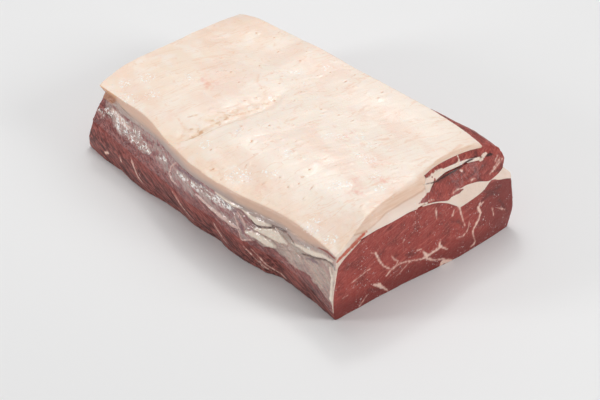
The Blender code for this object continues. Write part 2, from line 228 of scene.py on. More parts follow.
class Layer:
    """One layer of the loin: points in metres, triangles, and the kind of each triangle."""

    def __init__(self, name):
        self.name = name
        mesh = bmesh.new()
        mesh.from_mesh(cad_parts[name].data)
        bmesh.ops.remove_doubles(mesh, verts=mesh.verts, dist=WELD)
        self.points = np.array([vertex.co[:] for vertex in mesh.verts])
        self.faces = np.array([[vertex.index for vertex in face.verts] for face in mesh.faces])
        mesh.free()
        self.tree = BVHTree.FromPolygons(self.points.tolist(), self.faces.tolist())
        self.marks = {}

    def face_normals(self, unit=True):
        """Normal of each triangle; its length is twice the area unless it is made a unit."""
        a, b, c = (self.points[self.faces[:, k]] for k in range(3))
        normals = np.cross(b - a, c - a)
        return units(normals) if unit else normals

    def sort_faces(self, others, fills):
        """Say of each triangle whether it is shown, touches a layer, lies under or faces a gap."""
        normals = self.face_normals()
        centres = self.points[self.faces].mean(axis=1)
        reach = np.full(len(self.faces), OPEN_AIR)
        for index, (centre, way) in enumerate(zip(centres, normals)):
            reach[index] = nearest_layer(centre + way * WELD, way, others)
        self.kinds = np.where(reach < CRACK, TOUCHING, SHOWN)
        across = loin(centres)[:, 1]
        inside = (across > fills[0]) & (across < fills[1]) & (np.abs(normals[:, 0]) < LENGTHWISE)
        self.kinds[inside & (reach > CLOSE) & (reach < FILL_REACH)] = GAP
        self.kinds[(normals[:, 2] < DOWNWARDS) & (centres[:, 2] < WELD * 10)] = UNDER
        self.close = reach < CLOSE

    def edges(self):
        """Every edge once, the three edges of each triangle, and the two triangles of each edge."""
        ends = np.sort(self.faces[:, [0, 1, 1, 2, 2, 0]].reshape(-1, 2), axis=1)
        keys, index = np.unique(ends[:, 0] * len(self.points) + ends[:, 1], return_inverse=True)
        pairs = np.column_stack((keys // len(self.points), keys % len(self.points)))
        owners = (np.argsort(index, kind="stable") // 3).reshape(-1, 2)
        return pairs, index.reshape(-1, 3), owners

    def halve(self, longest):
        """Split the edges that are too long for their kind of face. False when none was."""
        pairs, index, owners = self.edges()
        spans = np.linalg.norm(self.points[pairs[:, 0]] - self.points[pairs[:, 1]], axis=1)
        kinds = self.kinds[owners]
        cut = (kinds == SHOWN).any(axis=1) & (spans > longest * MM)
        cut |= (kinds == UNDER).any(axis=1) & (spans > UNDER_EDGE * MM)
        cut |= (kinds == GAP).any(axis=1) & (spans > FILL_EDGE * MM)
        if not cut.any():
            return False
        middle = np.full(len(pairs), -1)
        middle[cut] = len(self.points) + np.arange(cut.sum())
        self.points = np.vstack((self.points, self.points[pairs[cut]].mean(axis=1)))
        self.replace_faces(middle[index])
        return True

    def replace_faces(self, middles):
        """Put two, three or four triangles in place of each one with one, two or three cuts."""
        cuts = (middles >= 0).sum(axis=1)
        turn = np.zeros(len(cuts), dtype=int)
        turn[cuts == 1] = np.argmax(middles[cuts == 1] >= 0, axis=1)
        turn[cuts == 2] = (np.argmin(middles[cuts == 2] >= 0, axis=1) + 1) % 3
        order = (np.arange(3) + turn[:, None]) % 3
        a, b, c = np.take_along_axis(self.faces, order, axis=1).T
        ab, bc, ca = np.take_along_axis(middles, order, axis=1).T
        pieces = {
            0: ((a, b, c),),
            1: ((a, ab, c), (ab, b, c)),
            2: ((ab, b, bc), (a, ab, bc), (a, bc, c)),
            3: ((a, ab, ca), (ab, b, bc), (ca, bc, c), (ab, bc, ca)),
        }
        faces, parents = [], []
        for number, parts in pieces.items():
            chosen = np.flatnonzero(cuts == number)
            for part in parts:
                faces.append(np.column_stack([corner[chosen] for corner in part]))
                parents.append(chosen)
        parents = np.concatenate(parents)
        self.faces = np.vstack(faces)
        self.kinds = self.kinds[parents]
        self.close = self.close[parents]

    def touches(self, chosen):
        """Which points belong to a chosen triangle."""
        mask = np.zeros(len(self.points), dtype=bool)
        mask[self.faces[chosen].ravel()] = True
        return mask

    def fair(self, rounds, across_edges=False):
        """Even out the shown faces; sharp edges are kept unless across_edges is set."""
        pairs, _, owners = self.edges()
        normals = self.face_normals()
        bend = (normals[owners[:, 0]] * normals[owners[:, 1]]).sum(axis=1)
        meeting = self.kinds[owners[:, 0]] != self.kinds[owners[:, 1]]
        border = meeting if across_edges else meeting | (bend < SHARP_COSINE)
        count = np.bincount(pairs[border].ravel(), minlength=len(self.points))
        movable = self.touches(self.kinds == SHOWN)
        links = np.vstack((pairs, pairs[:, ::-1]))
        along = np.tile(border, 2)
        start = links[:, 0]
        used = movable[start] & ((count[start] == 0) | ((count[start] == 2) & along))
        start, end = links[used].T
        total = np.bincount(start, minlength=len(self.points))
        moved = total > 0
        for _ in range(rounds):
            sums = add_up(start, self.points[end], len(self.points))
            self.points[moved] = sums[moved] / total[moved, None]

    def point_normals(self, chosen):
        """Unit normal at each point, from the chosen triangles only."""
        normals = np.zeros_like(self.points)
        weighted = self.face_normals(unit=False)[chosen]
        for corner in range(3):
            normals += add_up(self.faces[chosen, corner], weighted, len(self.points))
        return units(normals)

    def shown_normals(self):
        return self.point_normals(self.kinds == SHOWN)

    def fill_gaps(self, others):
        """Push the faces in front of a gap on until they meet the layer across it."""
        chosen = self.kinds == GAP
        ways = self.point_normals(chosen)
        for index in np.flatnonzero(self.touches(chosen)):
            reach = nearest_layer(self.points[index], ways[index], others)
            if reach < FILL_REACH:
                self.points[index] += ways[index] * max(reach - FILL_LEFT, 0.0)
        self.kinds[chosen] = TOUCHING

    def press_together(self):
        """Grow the touching faces by half the gap, so that no slit shows between layers."""
        self.points += self.point_normals(self.close) * PRESS

    def calm(self, rounds):
        """0 on the outlines where another layer begins, rising to 1 away from them."""
        pairs, _, _ = self.edges()
        start, end = np.vstack((pairs, pairs[:, ::-1])).T
        outline = self.touches(self.kinds == TOUCHING)
        total = np.bincount(start, minlength=len(self.points))
        share = np.where(outline, 0.0, 1.0)
        for _ in range(rounds):
            share = np.bincount(start, weights=share[end], minlength=len(self.points)) / total
            share[outline] = 0.0
        return share

    def emboss(self, height):
        """Raise the shown surface by a height in mm at each point."""
        self.points += self.shown_normals() * height[:, None] * MM
        self.points[:, 2] = np.maximum(self.points[:, 2], 0.0)


# %% [markdown]
# The solids end in blunt edges, so small hollows are left inside the loin where three layers
# meet. In real meat fat fills them. The cap and the fat of the fold may therefore grow into a
# hollow, in the part of the loin that is given for each, until they meet the next layer.

# %% Read the six layers
NO_FILL = (0.0, 0.0)
FILLS = {"fat_cap": (33.0, 195.0), "fold_fat": (175.0, 195.0)}
LAYERS = {name: Layer(name) for name in sorted(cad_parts)}
OTHERS = {name: [other for other in LAYERS.values() if other.name != name] for name in LAYERS}
for name, layer in LAYERS.items():
    layer.sort_faces(OTHERS[name], FILLS.get(name, NO_FILL))
    print(name, len(layer.faces), "facets,", int((layer.kinds == SHOWN).sum()), "shown")

# %% Refine and even them out
# Longest edge in mm, rounds along the sharp edges, and rounds across them
REFINE = {
    "eye_muscle": (1.5, 22, 2),
    "fat_cap": (1.75, 22, 3),
    "flap_muscle": (1.1, 7, 1),
    "fold_fat": (1.0, 5, 1),
    "seam_fat": (1.1, 7, 1),
    "silverskin": (1.1, 14, 1),
}
for name, layer in LAYERS.items():
    longest, rounds, edge_rounds = REFINE[name]
    while layer.halve(longest):
        pass
    layer.fair(rounds)
    layer.fair(edge_rounds, across_edges=True)
    layer.fill_gaps(OTHERS[name])
    layer.press_together()
    print(name, len(layer.faces), "triangles")

# %% [markdown]
# ## Tools for relief and marks
#
# Fractal noise gives the lumps and wrinkles that no one would place by hand. What the eye
# knows well, such as the marbling on the cut face, is drawn as brush strokes: a route, and
# how wide the stroke is. It is noted down as a name, the points it runs through and, behind
# a bar, its widths from start to end. A stroke is kept as the distance to its outline at
# every point, and the shader decides where the outline is, so it stays sharp however large
# the triangles are.

# %% Noise and strokes
NO_MARK = 9.0
MOSTLY, FAINTLY = 0.5, 0.2


def read_points(text):
    """Points noted as "1,2 3,4", in mm."""
    return np.array([point.split(",") for point in text.split()], dtype=float)


def read_strokes(text):
    """Strokes noted as "name: point point | width width;", in mm."""
    drawn = {}
    for note in text.strip().strip(";").split(";"):
        name, _, places = note.partition(":")
        route, _, widths = places.partition("|")
        drawn[name.strip()] = (read_points(route), np.array(widths.split(), dtype=float))
    print(len(drawn), "strokes:", ", ".join(drawn))
    return drawn


def clouds(places, size, octaves=3, seed=0.0):
    """Fractal noise around zero, in blobs of a size in mm, which may differ along each axis."""
    cells = (places / np.array(size) + seed).tolist()
    return np.array([noise.fractal(cell, 1.0, 2.0, octaves) for cell in cells])


def veins(places, size, seed=0.0, sharpness=5.0):
    """Thin winding lines: 1 on the line and 0 beside it."""
    return 1 - np.minimum(np.abs(clouds(places, size, 2, seed)) * sharpness, 1.0)


def turned(places, degrees):
    """Places with the back and across axes turned, for patterns that run askew."""
    angle = math.radians(degrees)
    back = places[:, 0] * math.cos(angle) + places[:, 1] * math.sin(angle)
    across = places[:, 1] * math.cos(angle) - places[:, 0] * math.sin(angle)
    return np.column_stack((back, across, places[:, 2]))


def stroke(flat, route, widths):
    """Distance in mm from flat points to the outline of a brush stroke, negative inside it."""
    half = np.interp(np.linspace(0, 1, len(route)), np.linspace(0, 1, len(widths)), widths) / 2
    nearest = np.full(len(flat), NO_MARK)
    for start, end, first, last in zip(route, route[1:], half, half[1:]):
        way = end - start
        share = np.clip((flat - start) @ way / (way @ way), 0.0, 1.0)
        gap = np.linalg.norm(flat - start - share[:, None] * way, axis=1)
        nearest = np.minimum(nearest, gap - first - (last - first) * share)
    return nearest


def strokes(flat, drawn):
    """Distance to the nearest of several strokes."""
    nearest = np.full(len(flat), NO_MARK)
    for route, widths in drawn.values():
        nearest = np.minimum(nearest, stroke(flat, route, widths))
    return nearest


# %% [markdown]
# ## The cut face
#
# The knife has gone straight through the loin. On the face the eye muscle shows its marbling:
# a few thick streaks of fat, and finer ones between the bundles of fibres.

# %% Marbling, as (across, height) in mm on the cut face
MARBLING = read_strokes("""
left_streak: 50,49 53,42 56,36 59.5,30.5 67,24 | 1.2 1.7 1.4 0.4;
left_twig: 45.5,51 51,47.8 | 0.3 0.7;
hook: 68.7,36 72.5,30.6 75.4,28 74,25 67.7,22.4 62.6,19 | 0.9 1.0 0.8 0.6;
long_line: 62.6,19 70.4,22.3 77,24 87,22.3 95,19.5 101,17.4 107,17 | 0.4 0.7 0.6 0.9 1.6;
second_line: 75,13 81,16.5 85.4,19 89.7,20.4 | 0.2 0.6 0.2;
star: 103.8,24.5 107.3,19 108.5,15.5 | 1.0 3.6 2.6;
star_upper_arm: 108,17.5 114.5,18.6 119.3,19.2 124,20 131,14.6 | 2.8 2.2 2.6 0.6;
star_spur: 123.5,26 122.3,20.5 | 0.7 2.2;
star_twig: 98,28.5 102,27.5 | 1.3 0.5;
star_lower_arm: 108.3,15.5 115,10.4 122,7.8 127,6.4 | 2.0 1.1 0.8 1.4;
cream_patch: 124,-1 127,3.5 132,1.5 138,-2 | 3.0 5.5 3.5;
lower_patch: 49,16.5 54.3,13.4 58.7,8.6 65.6,1.5 | 1.4 3.4 2.6 0.6;
upright: 119.7,60 120.2,55 120.8,49 | 0.9 1.5 0.5;
upright_twig: 141,48 139.8,43.5 | 0.4 1.3;
notch: 147,52 149,44 150.2,38 152.6,28 | 3.4 1.6 0.8 0.3;
right_branch: 173,41 170,37.5 172,32 169.8,27.5 165.5,23.5 162,20 161.4,15 165,7 | 1.4 3.2 1.5 1.9 1.0 0.5;
right_spur: 177,40.5 172.7,39 | 0.3 1.1;
right_foot: 165,7 163,4.3 159,4 | 0.6 1.6 0.5;
arc: 158.4,30 157,25 154.4,21.4 149.4,19 142.4,20.8 | 0.2 0.7 0.6 0.2;
side_streak: 187,30 188.4,22.5 | 0.6 0.2;
side_twig: 194,26.5 203,21 | 0.4 0.9 0.2;
low_line: 33.6,1.7 38,6 41,9 | 0.6 0.2;
foot_line: 14,20 20,20.2 | 0.3 0.5 0.1;
fibre_line: 24,31 32,32.6 40,34.7 45,34.8 | 0.2 0.5 0.2;
middle_twig: 81.4,43 83,46.5 | 0.3 0.8;
""")

EYE_DARK = read_strokes("""
notch_dark: 139,38 145,36 149,31 151,26 | 1.0 4.0 3.0 0.6;
under_seam: 176,51 186,46 196,40 | 1.0 5.0 2.0;
left_dark: 84,30 92,27 99,24 | 0.8 3.0 0.8;
low_dark: 42,14 60,6 | 1.0 3.0 1.0;
under_lens: 172,40 180,44 190,46 199,46.5 | 1.0 3.6 3.2 1.0;
flank_dark: 196,34 201,26 206,18 | 1.0 3.0 1.0;
""")

# %% Pale stripes on the chine side of the eye and two painted glints near its rear, as (back, height) in mm
EYE_STRIPES = read_strokes("""
front_stripe: 107,20.1 97,15.6 89,10.1 80,6.7 72,4.2 | 0.3 1.0 0.9 0.4;
upper_stripe: 116,18.2 108,15.4 102,11.1 95,6.1 | 0.2 0.8 0.3;
lower_stripe: 100,13.6 93,7.3 88,4.8 | 0.2 0.9 0.2;
middle_stripe: 158,20 147,14 138,8 | 0.2 0.8 0.3;
long_stripe: 216,21 200,14 186,8 | 0.2 0.8 0.3;
rear_stripe: 282,22 270,15 259,8 | 0.3 1.2 0.4;
rear_glint: 321,7.5 316,10.5 | 1.8 2.6;
rear_spark: 297,16 294,13 | 0.6 1.4;
""")


def face_share(layer):
    """1 where a surface is a cut end, 0 on the other sides."""
    return ramp(np.abs(layer.shown_normals()[:, 0]), 0.45, 0.7)


FAR_DRIFT = 14
FAR_SHIFT = (10, 0)
FAR_STRETCH = (1.0, 1.18)


def cut_face_marks(layer, drawn):
    """Distance to strokes on the shown end, and to the same ones, changed, on the far end."""
    places = loin(layer.points)
    section = places[:, 1:]
    drift = np.column_stack([clouds(places[:, [1, 2, 0]], 60, 1, seed) for seed in (3.0, 8.0)]) * FAR_DRIFT
    far = strokes((section + drift - FAR_SHIFT) * FAR_STRETCH, drawn)
    distance = np.where(places[:, 0] < FRONT_X / MM, strokes(section, drawn), far)
    return np.where(face_share(layer) > MOSTLY, distance, NO_MARK)


def shared_relief(places):
    """Low waves that all layers follow, so that they stay flush where they meet."""
    return 0.4 * clouds(places, 26, 2)


def raise_surface(layer, places, height, rounds):
    """Raise a layer by its own relief, calm at its outlines, and by the waves of the whole loin."""
    layer.emboss(shared_relief(places) + height * layer.calm(rounds))
    print(layer.name, "relief", round(height.min(), 2), "to", round(height.max(), 2), "mm")


def chine_foot_shade(layer):
    """Painted shade on the lean of the chine side: full near its foot, half higher up."""
    places = loin(layer.points)
    chine_side = ramp(layer.shown_normals()[:, 1], -0.25, -0.55)
    shade_depth = 0.5 + 0.5 * ramp(places[:, 2], 27, 13)
    return chine_side * ramp(places[:, 0], 6, 12) * shade_depth


# %% Relief of the eye muscle
eye = LAYERS["eye_muscle"]
eye_places = loin(eye.points)
back, across, height = eye_places.T
eye_face = face_share(eye)
eye.marks["marbling"] = cut_face_marks(eye, MARBLING)
grain = clouds(turned(eye_places[:, [0, 2, 1]], 24), (30, 2.6, 3.2), 2, 5.0)
eye_height = 0.22 * clouds(eye_places, 6, 2, 4.0)
eye_height += (1 - eye_face) * (0.45 * grain + 0.9 * clouds(eye_places, (34, 14, 14), 2, 9.0))
eye_height += eye_face * 0.25 * ease(0.5 - eye.marks["marbling"])
raise_surface(eye, eye_places, eye_height, 4)
# Painted shade near the foot of the chine side
eye.marks["low"] = chine_foot_shade(eye)
side_stripes = strokes(np.column_stack((back, height)), EYE_STRIPES)
# The pale stripes and two painted glints take the place of the marbling on the chine side
eye.marks["marbling"] = np.where(eye.marks["low"] > FAINTLY, side_stripes, eye.marks["marbling"])
eye.marks["dark"] = cut_face_marks(eye, EYE_DARK)
for name in ("fat_paint", "fold_crack"):
    eye.marks[name] = np.full(len(eye.points), NO_MARK)
# Painted shade on the cut face: darker towards the flank side and towards the foot
eye.marks["shade"] = eye_face * np.maximum(ramp(across, 150, 200), ramp(height, 26, 6))
# Painted highlights: white flecks are painted in patches of the cut face, which also carry beads
eye.marks["wet"] = eye_face * ease(0.6 + 2 * clouds(eye_places, 12, 2, 14.0))

# %% [markdown]
# ## The fat cap
#
# The cap is firm, waxy fat. Its top was torn and scraped, so it has short nicks with warm
# shadows painted in them, low lumps, and winding wrinkles that run slantwise. A little behind
# the middle, the front part laps over the rear part in a deep crease, with shade painted in
# it and between the lumps behind it.

# %% Crease, ridge and nicks, as (across, back) and (back, across) in mm
CREASE = read_points("15,228 23,221 31,215 47,211 60,207 79,202 96,199 110,198 125,204 140,201")
BLUSH_SPOTS = read_points("""
60,77,5 47,67,8 63,108,6 113,114,6 116,126,4 265,90,8 276,92,5 117,22,5 40,92,6
""")
# Spots where white sparks are painted as highlights, as (back, across, radius)
SPARKLES = read_points("""
170,125,3 229,154,3 224,159,3 207,151,3 209,115,3 209,182,4 180,143,3 116,114,4 126,104,3 88,123,4 104,126,4
114,70,3 132,66,3 129,64,3 150,20,7 141,25,7 198,29,5 68,62,6 61,67,5 86,104,4 73,106,5 35,82,5 52,93,4
126,110,3 120,40,4 186,56,4 127,37,4 50,20,7 295,47,6 288,86,5 26,18,5 310,30,7 318,60,6 330,42,5
""")
RIDGE = read_points("120,251 137,246 152,240 164,243 190,240 205,238")
PLACED_NICKS = read_points("""
268,118 249,111 220,106 207,107 205,115 190,64 188,58 174,82 188,27 169,13 154,10 113,40 94,45 98,52 162,132
143,136 153,110 221,135 228,144 197,140 179,177 201,179 236,173 239,142 259,144 137,178 141,186 181,190
82,48 99,37 119,27 223,95 167,55 128,138 100,62 170,13 264,172 304,180 285,185 168,56
""")
NICK_COUNT = 140
NICK_SEED = 11
NICK_LEAN, NICK_SPREAD = 116, 22
NICK_AREA = ((5, 4), (340, 200))
NICK_WIDTHS, PLACED_WIDTHS, NICK_LENGTHS = (0.2, 0.7), (1.2, 1.9), (1.5, 4.5)
NICK_TIP, NICK_BEND = 0.1, 0.8
LIP = (1.6, -0.8)


def spots(places, drawn):
    """Soft round spots of (back, across, radius), as 0 to 1."""
    flat = places[:, None, :2] - drawn[None, :, :2]
    return bell(np.linalg.norm(flat, axis=2), drawn[None, :, 2]).max(axis=1)


def nick_strokes():
    """Short strokes that lean the same way, the placed ones first and then scattered ones."""
    draw = np.random.default_rng(NICK_SEED)
    nicks = {}
    for number in range(NICK_COUNT):
        place = draw.uniform(*NICK_AREA)
        width = draw.uniform(*NICK_WIDTHS)
        length = draw.uniform(*NICK_LENGTHS)
        angle = math.radians(draw.normal(NICK_LEAN, NICK_SPREAD))
        if number < len(PLACED_NICKS):
            place = PLACED_NICKS[number]
            width = draw.uniform(*PLACED_WIDTHS)
        way = np.array((math.cos(angle), math.sin(angle)))
        bend = np.array((-way[1], way[0])) * draw.uniform(-NICK_BEND, NICK_BEND)
        reach = way * length / 2
        nicks[number] = (np.array((place - reach, place + bend, place + reach)), (NICK_TIP, width, NICK_TIP))
    return nicks


# Foot of the cap on the chine side, as (back, height)
CAP_FOOT = read_points("""
7,62 24,60 31,55.8 40,53.1 55,49 67,48 74,50.9 88,50.5 102,49.9 114,50.6 125,51.8 138,55.1 153,53.7 170,52.5
187,54.4 209,55.6 234,54.7 260,49.8 275,48.3 291,47.9 310,47.1 320,45.1 350,45.5
""")
CORNER_BACK, CORNER_HEIGHT, CORNER_SLANT = 318.0, 62.0, 0.82


def chine_cut_marks(layer):
    """Height over the foot of the cap on the chine side, and the shaded slope at the far corner."""
    back, across, height = loin(layer.points).T
    layer.marks["cap_line"] = height - follow(CAP_FOOT, back)
    behind_corner = back - CORNER_BACK - (CORNER_HEIGHT - height) * CORNER_SLANT
    layer.marks["far_corner"] = ramp(behind_corner, 0, 4) * ramp(across, 70, 50)


# %% Relief of the fat cap
cap = LAYERS["fat_cap"]
cap_places = loin(cap.points)
back, across, height = cap_places.T
cap_normals = cap.shown_normals()
top = ramp(cap_normals[:, 2], 0.5, 0.8)
NICKS = nick_strokes()
nick = np.where(top > MOSTLY, strokes(cap_places[:, :2], NICKS), NO_MARK)
lip = ramp(strokes(cap_places[:, :2] + LIP, NICKS), 2, 0) * top
behind = back - follow(CREASE, across)
fade = ramp(across, 140, 95)
valley = bell(behind - 3, 4.0) * fade
near_corner = bell(back - 20, 40) * bell(across - 25, 35)
rough = np.maximum(bell(behind - 8, 16) * fade, np.maximum(near_corner, bell(across - 12, 10)))
FLOW = 16
flowing = turned(cap_places, FLOW)
patches = ease(0.5 + 1.6 * clouds(cap_places, 40, 2, 21.0))
cap_height = 0.4 * clouds(cap_places, 48, 2, 2.0) + 0.1 * clouds(cap_places, 17, 2, 7.0)
cap_height -= top * patches * 0.16 * veins(flowing, (16, 60, 60), 1.0, 9.0)
cap_height += top * (1 - patches) * 0.16 * clouds(flowing, (5, 14, 14), 2, 6.0)
cap_height += (0.12 + rough) * 0.2 * clouds(cap_places, (8, 6, 6), 3, 12.0)
cap_height += lip * 0.22 - 0.4 * ease(0.7 - nick)
lumps = bell(behind - 12, 11) * fade
hollow = clouds(cap_places, (11, 9, 9), 2, 4.0)
cap_height += top * (0.9 * bell(behind + 5, 5.0) * fade - 1.3 * valley + lumps * 0.75 * hollow)
cap_height += top * 0.2 * ramp(across, 115, 135) * bell(back - follow(RIDGE, across), 4.0)
cap.marks["nick"] = nick
# Painted shade in the hollows between the lumps behind the crease
cap.marks["lump_shade"] = lumps * ease(0.4 - 2.4 * hollow) * top
cap.marks["creased"] = bell(behind - 4, 18) * fade * top
cap.marks["blush"] = spots(cap_places, BLUSH_SPOTS) * top
peach = np.maximum(ramp(back, 42, 0) * ramp(across, 118, 78), 0.8 * ramp(across, 53, 9))
peach = np.maximum(peach, 0.6 * ramp(back, 230, 320))
cap.marks["peach"] = peach * ease(0.8 + 1.5 * clouds(cap_places, 14, 2, 31.0))
cap.marks["cut_side"] = ramp(cap_normals[:, 1], -0.35, -0.65)
cap.marks["bevel"] = ramp(cap_normals[:, 0], 0.2, 0.45)
chine_cut_marks(cap)
# Painted highlights: white sparks are painted around these spots, which are also glossier and carry beads
cap.marks["wet"] = top * (spots(cap_places, SPARKLES) + 0.04)
raise_surface(cap, cap_places, cap_height, 4)

# %% Marks on the bevel of the cap, as (across, height) in mm where nothing else is said
BROWN_LINE = read_points("38,72.5 43,73 66,77 89,78 112,78 136,77")
RED_STRIP = read_strokes("""
red_strip: 8,60.3 12,62 17,63.8 24,66.4 31,69.2 38,71.5 43,72.8 | 2.2 2.8 2.0 0.8;
""")
# On the chine side, as (back, height)
SIDE_STRIP = read_strokes("""
side_strip: 34,57.5 31,59.2 20,62.1 9,62.4 4,63 | 0.4 1.4 2.2 2.4 1.6;
""")
LEAN_PATCHES = read_strokes("""
lobe_tip: 100.3,73 107,72.95 113.5,72.4 119,71.5 | 0.3 2.9 5.7 8.6;
pinch: 180,52 184,54.2 187.5,55.4 190.5,55.0 196,52.8 204,50.6 | 1.6 3.2 4.2 3.2 1.8 0.8;
strip_dot: 128.6,79.8 129.8,80.8 | 1.0 0.7;
strip_spot: 127,77.4 130.4,78.5 | 1.1 0.9;
bright_blob: 138.8,62.4 144,61.9 150,61.2 155.4,61.4 | 1.4 3.0 3.2 1.2;
""")
# The crack and the hole of the fold, where shade is painted dark
FOLD_CRACK = read_strokes("""
fold_crack: 116,79.9 123,78.5 130,77 138,76.1 146,75.1 154,75.4 165,76.1 171,76.8 177,77.3 183,77.6
    | 0.1 0.4 0.9 1.4 1.5 1.4 1.2 1.3 1.2 0.3;
fold_hole: 191,74.3 194,74 197,73.3 199,72.6 | 0.3 1.5 1.8 0.5;
""")
# On the top, as (back, across)
CREASE_SHADOWS = read_strokes("""
groove: 219,24 218,41 216,52 214,66 210,82 206,98 | 3.0 3.4 2.2 1.8 0.8 0.2;
chine_hollow: 220,31 219,36 222,40 | 1.0 4.0 1.0;
middle_hollow: 225,53 221,57 | 1.6 3.4 1.6;
far_hollow: 219,64 217,69 214,72 | 1.6 4.4 1.6;
upper_hollow: 241,48 238,53 | 0.6 2.4 0.6;
side_hollow: 226,67 222,71 | 0.6 2.0 0.6;
tear: 229,37 223,42 | 0.6 2.0 0.6;
""")
WARM_SMEARS = read_strokes("""
lip_smear: 212,34 209,48 206,64 202,80 | 1.5 3.0 2.0 0.6;
front_line: 44,74 41,96 | 1.5 3.0;
middle_smear: 92,130 86,140 | 2 4;
rear_smear: 262,84 270,92 | 2 3;
rear_line: 225,118 236,122 246,132 | 0.6 1.6 0.6;
right_smear: 30,158 34,176 | 2 4;
""")

BEVEL_STROKES = {"red_strip": RED_STRIP, "fold_crack": FOLD_CRACK, "lean_patch": LEAN_PATCHES}
NEAR_END, END_DEPTH = 45, 60
CHINE_FACING, SLOPING, ANY_SLANT = -0.3, 0.2, -1.0


def near_strokes(layer, drawn, least=SLOPING):
    """Distance to strokes on the sloping front of a layer; least is its least slant forwards."""
    places = loin(layer.points)
    sloping = layer.shown_normals()[:, 0] > least
    return np.where((places[:, 0] < NEAR_END) & sloping, strokes(places[:, 1:], drawn), NO_MARK)


def bevel_marks(layer):
    """Distances to the strokes on the bevel."""
    for name, drawn in BEVEL_STROKES.items():
        layer.marks[name] = near_strokes(layer, drawn)


bevel_marks(cap)
raised = loin(cap.points)
cap.marks["under_line"] = follow(BROWN_LINE, raised[:, 1]) - raised[:, 2]
side_strip = strokes(cap_places[:, [0, 2]], SIDE_STRIP)
cap.marks["side_strip"] = np.where(cap_normals[:, 1] < CHINE_FACING, side_strip, NO_MARK)
for name, drawn in {"smear": WARM_SMEARS, "hollow": CREASE_SHADOWS}.items():
    cap.marks[name] = np.where(top > MOSTLY, strokes(cap_places[:, :2], drawn), NO_MARK)
print("cap marks:", ", ".join(cap.marks))

# %% [markdown]
# ## The silverskin
#
# Silverskin is the tough, glistening sheet over the side of the muscle. At the rear it is
# thin, and the red meat shows through it. Nearer the cut end it thickens into grey-cream
# fat, with lens-shaped folds and cracks between them. The shade in the cracks is painted
# dark, and so are dark reflections on the film; white highlights are painted where it glistens.

# %% Marks on the chine side, as (back, height) in mm
FILM_FOOT = read_points("""
5,18 10,20 16,21.9 26,24.2 36,28.5 44,28 56,24.9 64,25.9 73,28.8 82,30.5 92,29.6 106,30 111,27.4 116,24
122,30.8 133,31.5 151,32.5 168,35 178,36 196,35 209,32 218,31.5 225,34 256,35 285,35.5 304,33 317,34 330,38
340,42 348,46
""")
FOLDS = read_strokes("""
upper_lens: 123,51 114,49 106,46.8 98,47.6 91,48.9 | 1.0 3.6 5.6 3.8 1.0;
low_lens: 114,34 108,35 100,34.8 91,33.4 83,33.2 | 2.6 4.6 6.0 6.4 3.0;
middle_lens: 106,40 97,41.4 88,42.6 80,42 72,41 | 1.6 5.6 9.0 8.0 2.0;
cream_band: 66,44.4 58,45.9 49,47.1 41,49 34,51.2 23,55.8 12,58.4 | 1.0 3.4 4.4 4.0 2.0;
under_cap: 156,52.4 143,52 135,51 122,52 | 1.5 2.8 3.0 1.5;
front_pad: 14,50 10,44 8,34 8,24 | 2.0 3.6 3.0 4.0;
""")
SIDE_CRACKS = read_strokes("""
under_upper_lens: 112,45.8 109,44.1 102,43.4 94,45.9 88,48.4 | 0.3 0.9 1.0 0.5;
under_band: 90,49.4 84,49.9 78,50.2 74,50.6 | 0.6 1.7 1.8 0.6;
right_of_lens: 72,49.5 67,46.9 62,44.7 | 0.3 0.6 0.3;
front_crack: 53,41 43,44.7 35,47 27,51 19,54.2 12,54.6 7,51.8 | 0.4 1.7 1.4 0.8 1.6 1.0;
""")
FINE_CRACKS = read_strokes("""
lens_split: 104,38.6 95,38 89,37.8 80,37.3 | 0.1 0.5 0.5 0.2;
lens_rim: 88,48 79,46.9 73,44.1 69,42 | 0.3 0.5 0.9 0.5;
lens_end: 84,33 76,35 69,38 | 0.2 0.5 0.2;
pad_line: 66,40 58,39 52,37 | 0.2 0.6 0.2;
""")
PALE_STROKES = read_strokes("""
loop: 214,51 222,43 223,36 218,32.7 209,32.7 | 1.2 2.0 2.2 2.0 1.2;
grains: 180,38 168,36.3 160,34.3 151,33.8 140,34.2 133,32.8 124,33 | 1.4 3.2 3.4 3.8 2.0;
film_edge: 122,30.8 117,24.5 111,27.4 104,30.5 | 1.2 1.4 1.0 0.6;
front_strip: 127,47 122,43.9 117,39.8 116,36.9 | 1.6 2.2 1.6 0.8;
second_strip: 130,43 124,36 120,31.9 | 1.4 2.2 1.2;
rear_pale: 330,42 310,42.5 296,42 | 3.0 5.0 2.0;
""")
# Painted dark reflections and shade on the film, as (back, height)
DARK_REFLECTIONS = read_strokes("""
rear_purple: 212,47.5 195,50.5 180,50.3 168,49.8 | 1.0 3.0 3.4 1.6;
front_purple: 156,49 146,48.6 138,48 130,46 | 1.5 5.0 5.0 2.0;
strip_shade: 124,41 119,35 117,31 | 1.4 2.4 1.0;
pad_shade: 46,41 38,43.5 30,45 | 1.5 3.6 1.5;
""")
# Routes where highlights are painted on the silverskin
GLINT_ROUTES = read_strokes("""
rear_glints: 338,40 317,39.5 300,39.5 285,39 270,37.5 258,38 | 4.0 10.0 12.0 9.0 3.0;
middle_glints: 243,41 233,43.5 | 3.0 4.0;
front_glints: 210,43.5 192,44.5 176,45.5 160,46.5 146,46.5 134,47 | 3.0 6.0 8.0 8.0 4.0;
grain_glints: 176,37 160,34.5 140,34 130,33 | 1.0 2.4 1.6;
end_glints: 347,36 338,34.5 | 2.0 4.0;
band_glint: 51,50 44,50.8 | 1.6 1.6;
corner_glint: 21,51 19.5,50.5 | 1.6 1.4;
""")

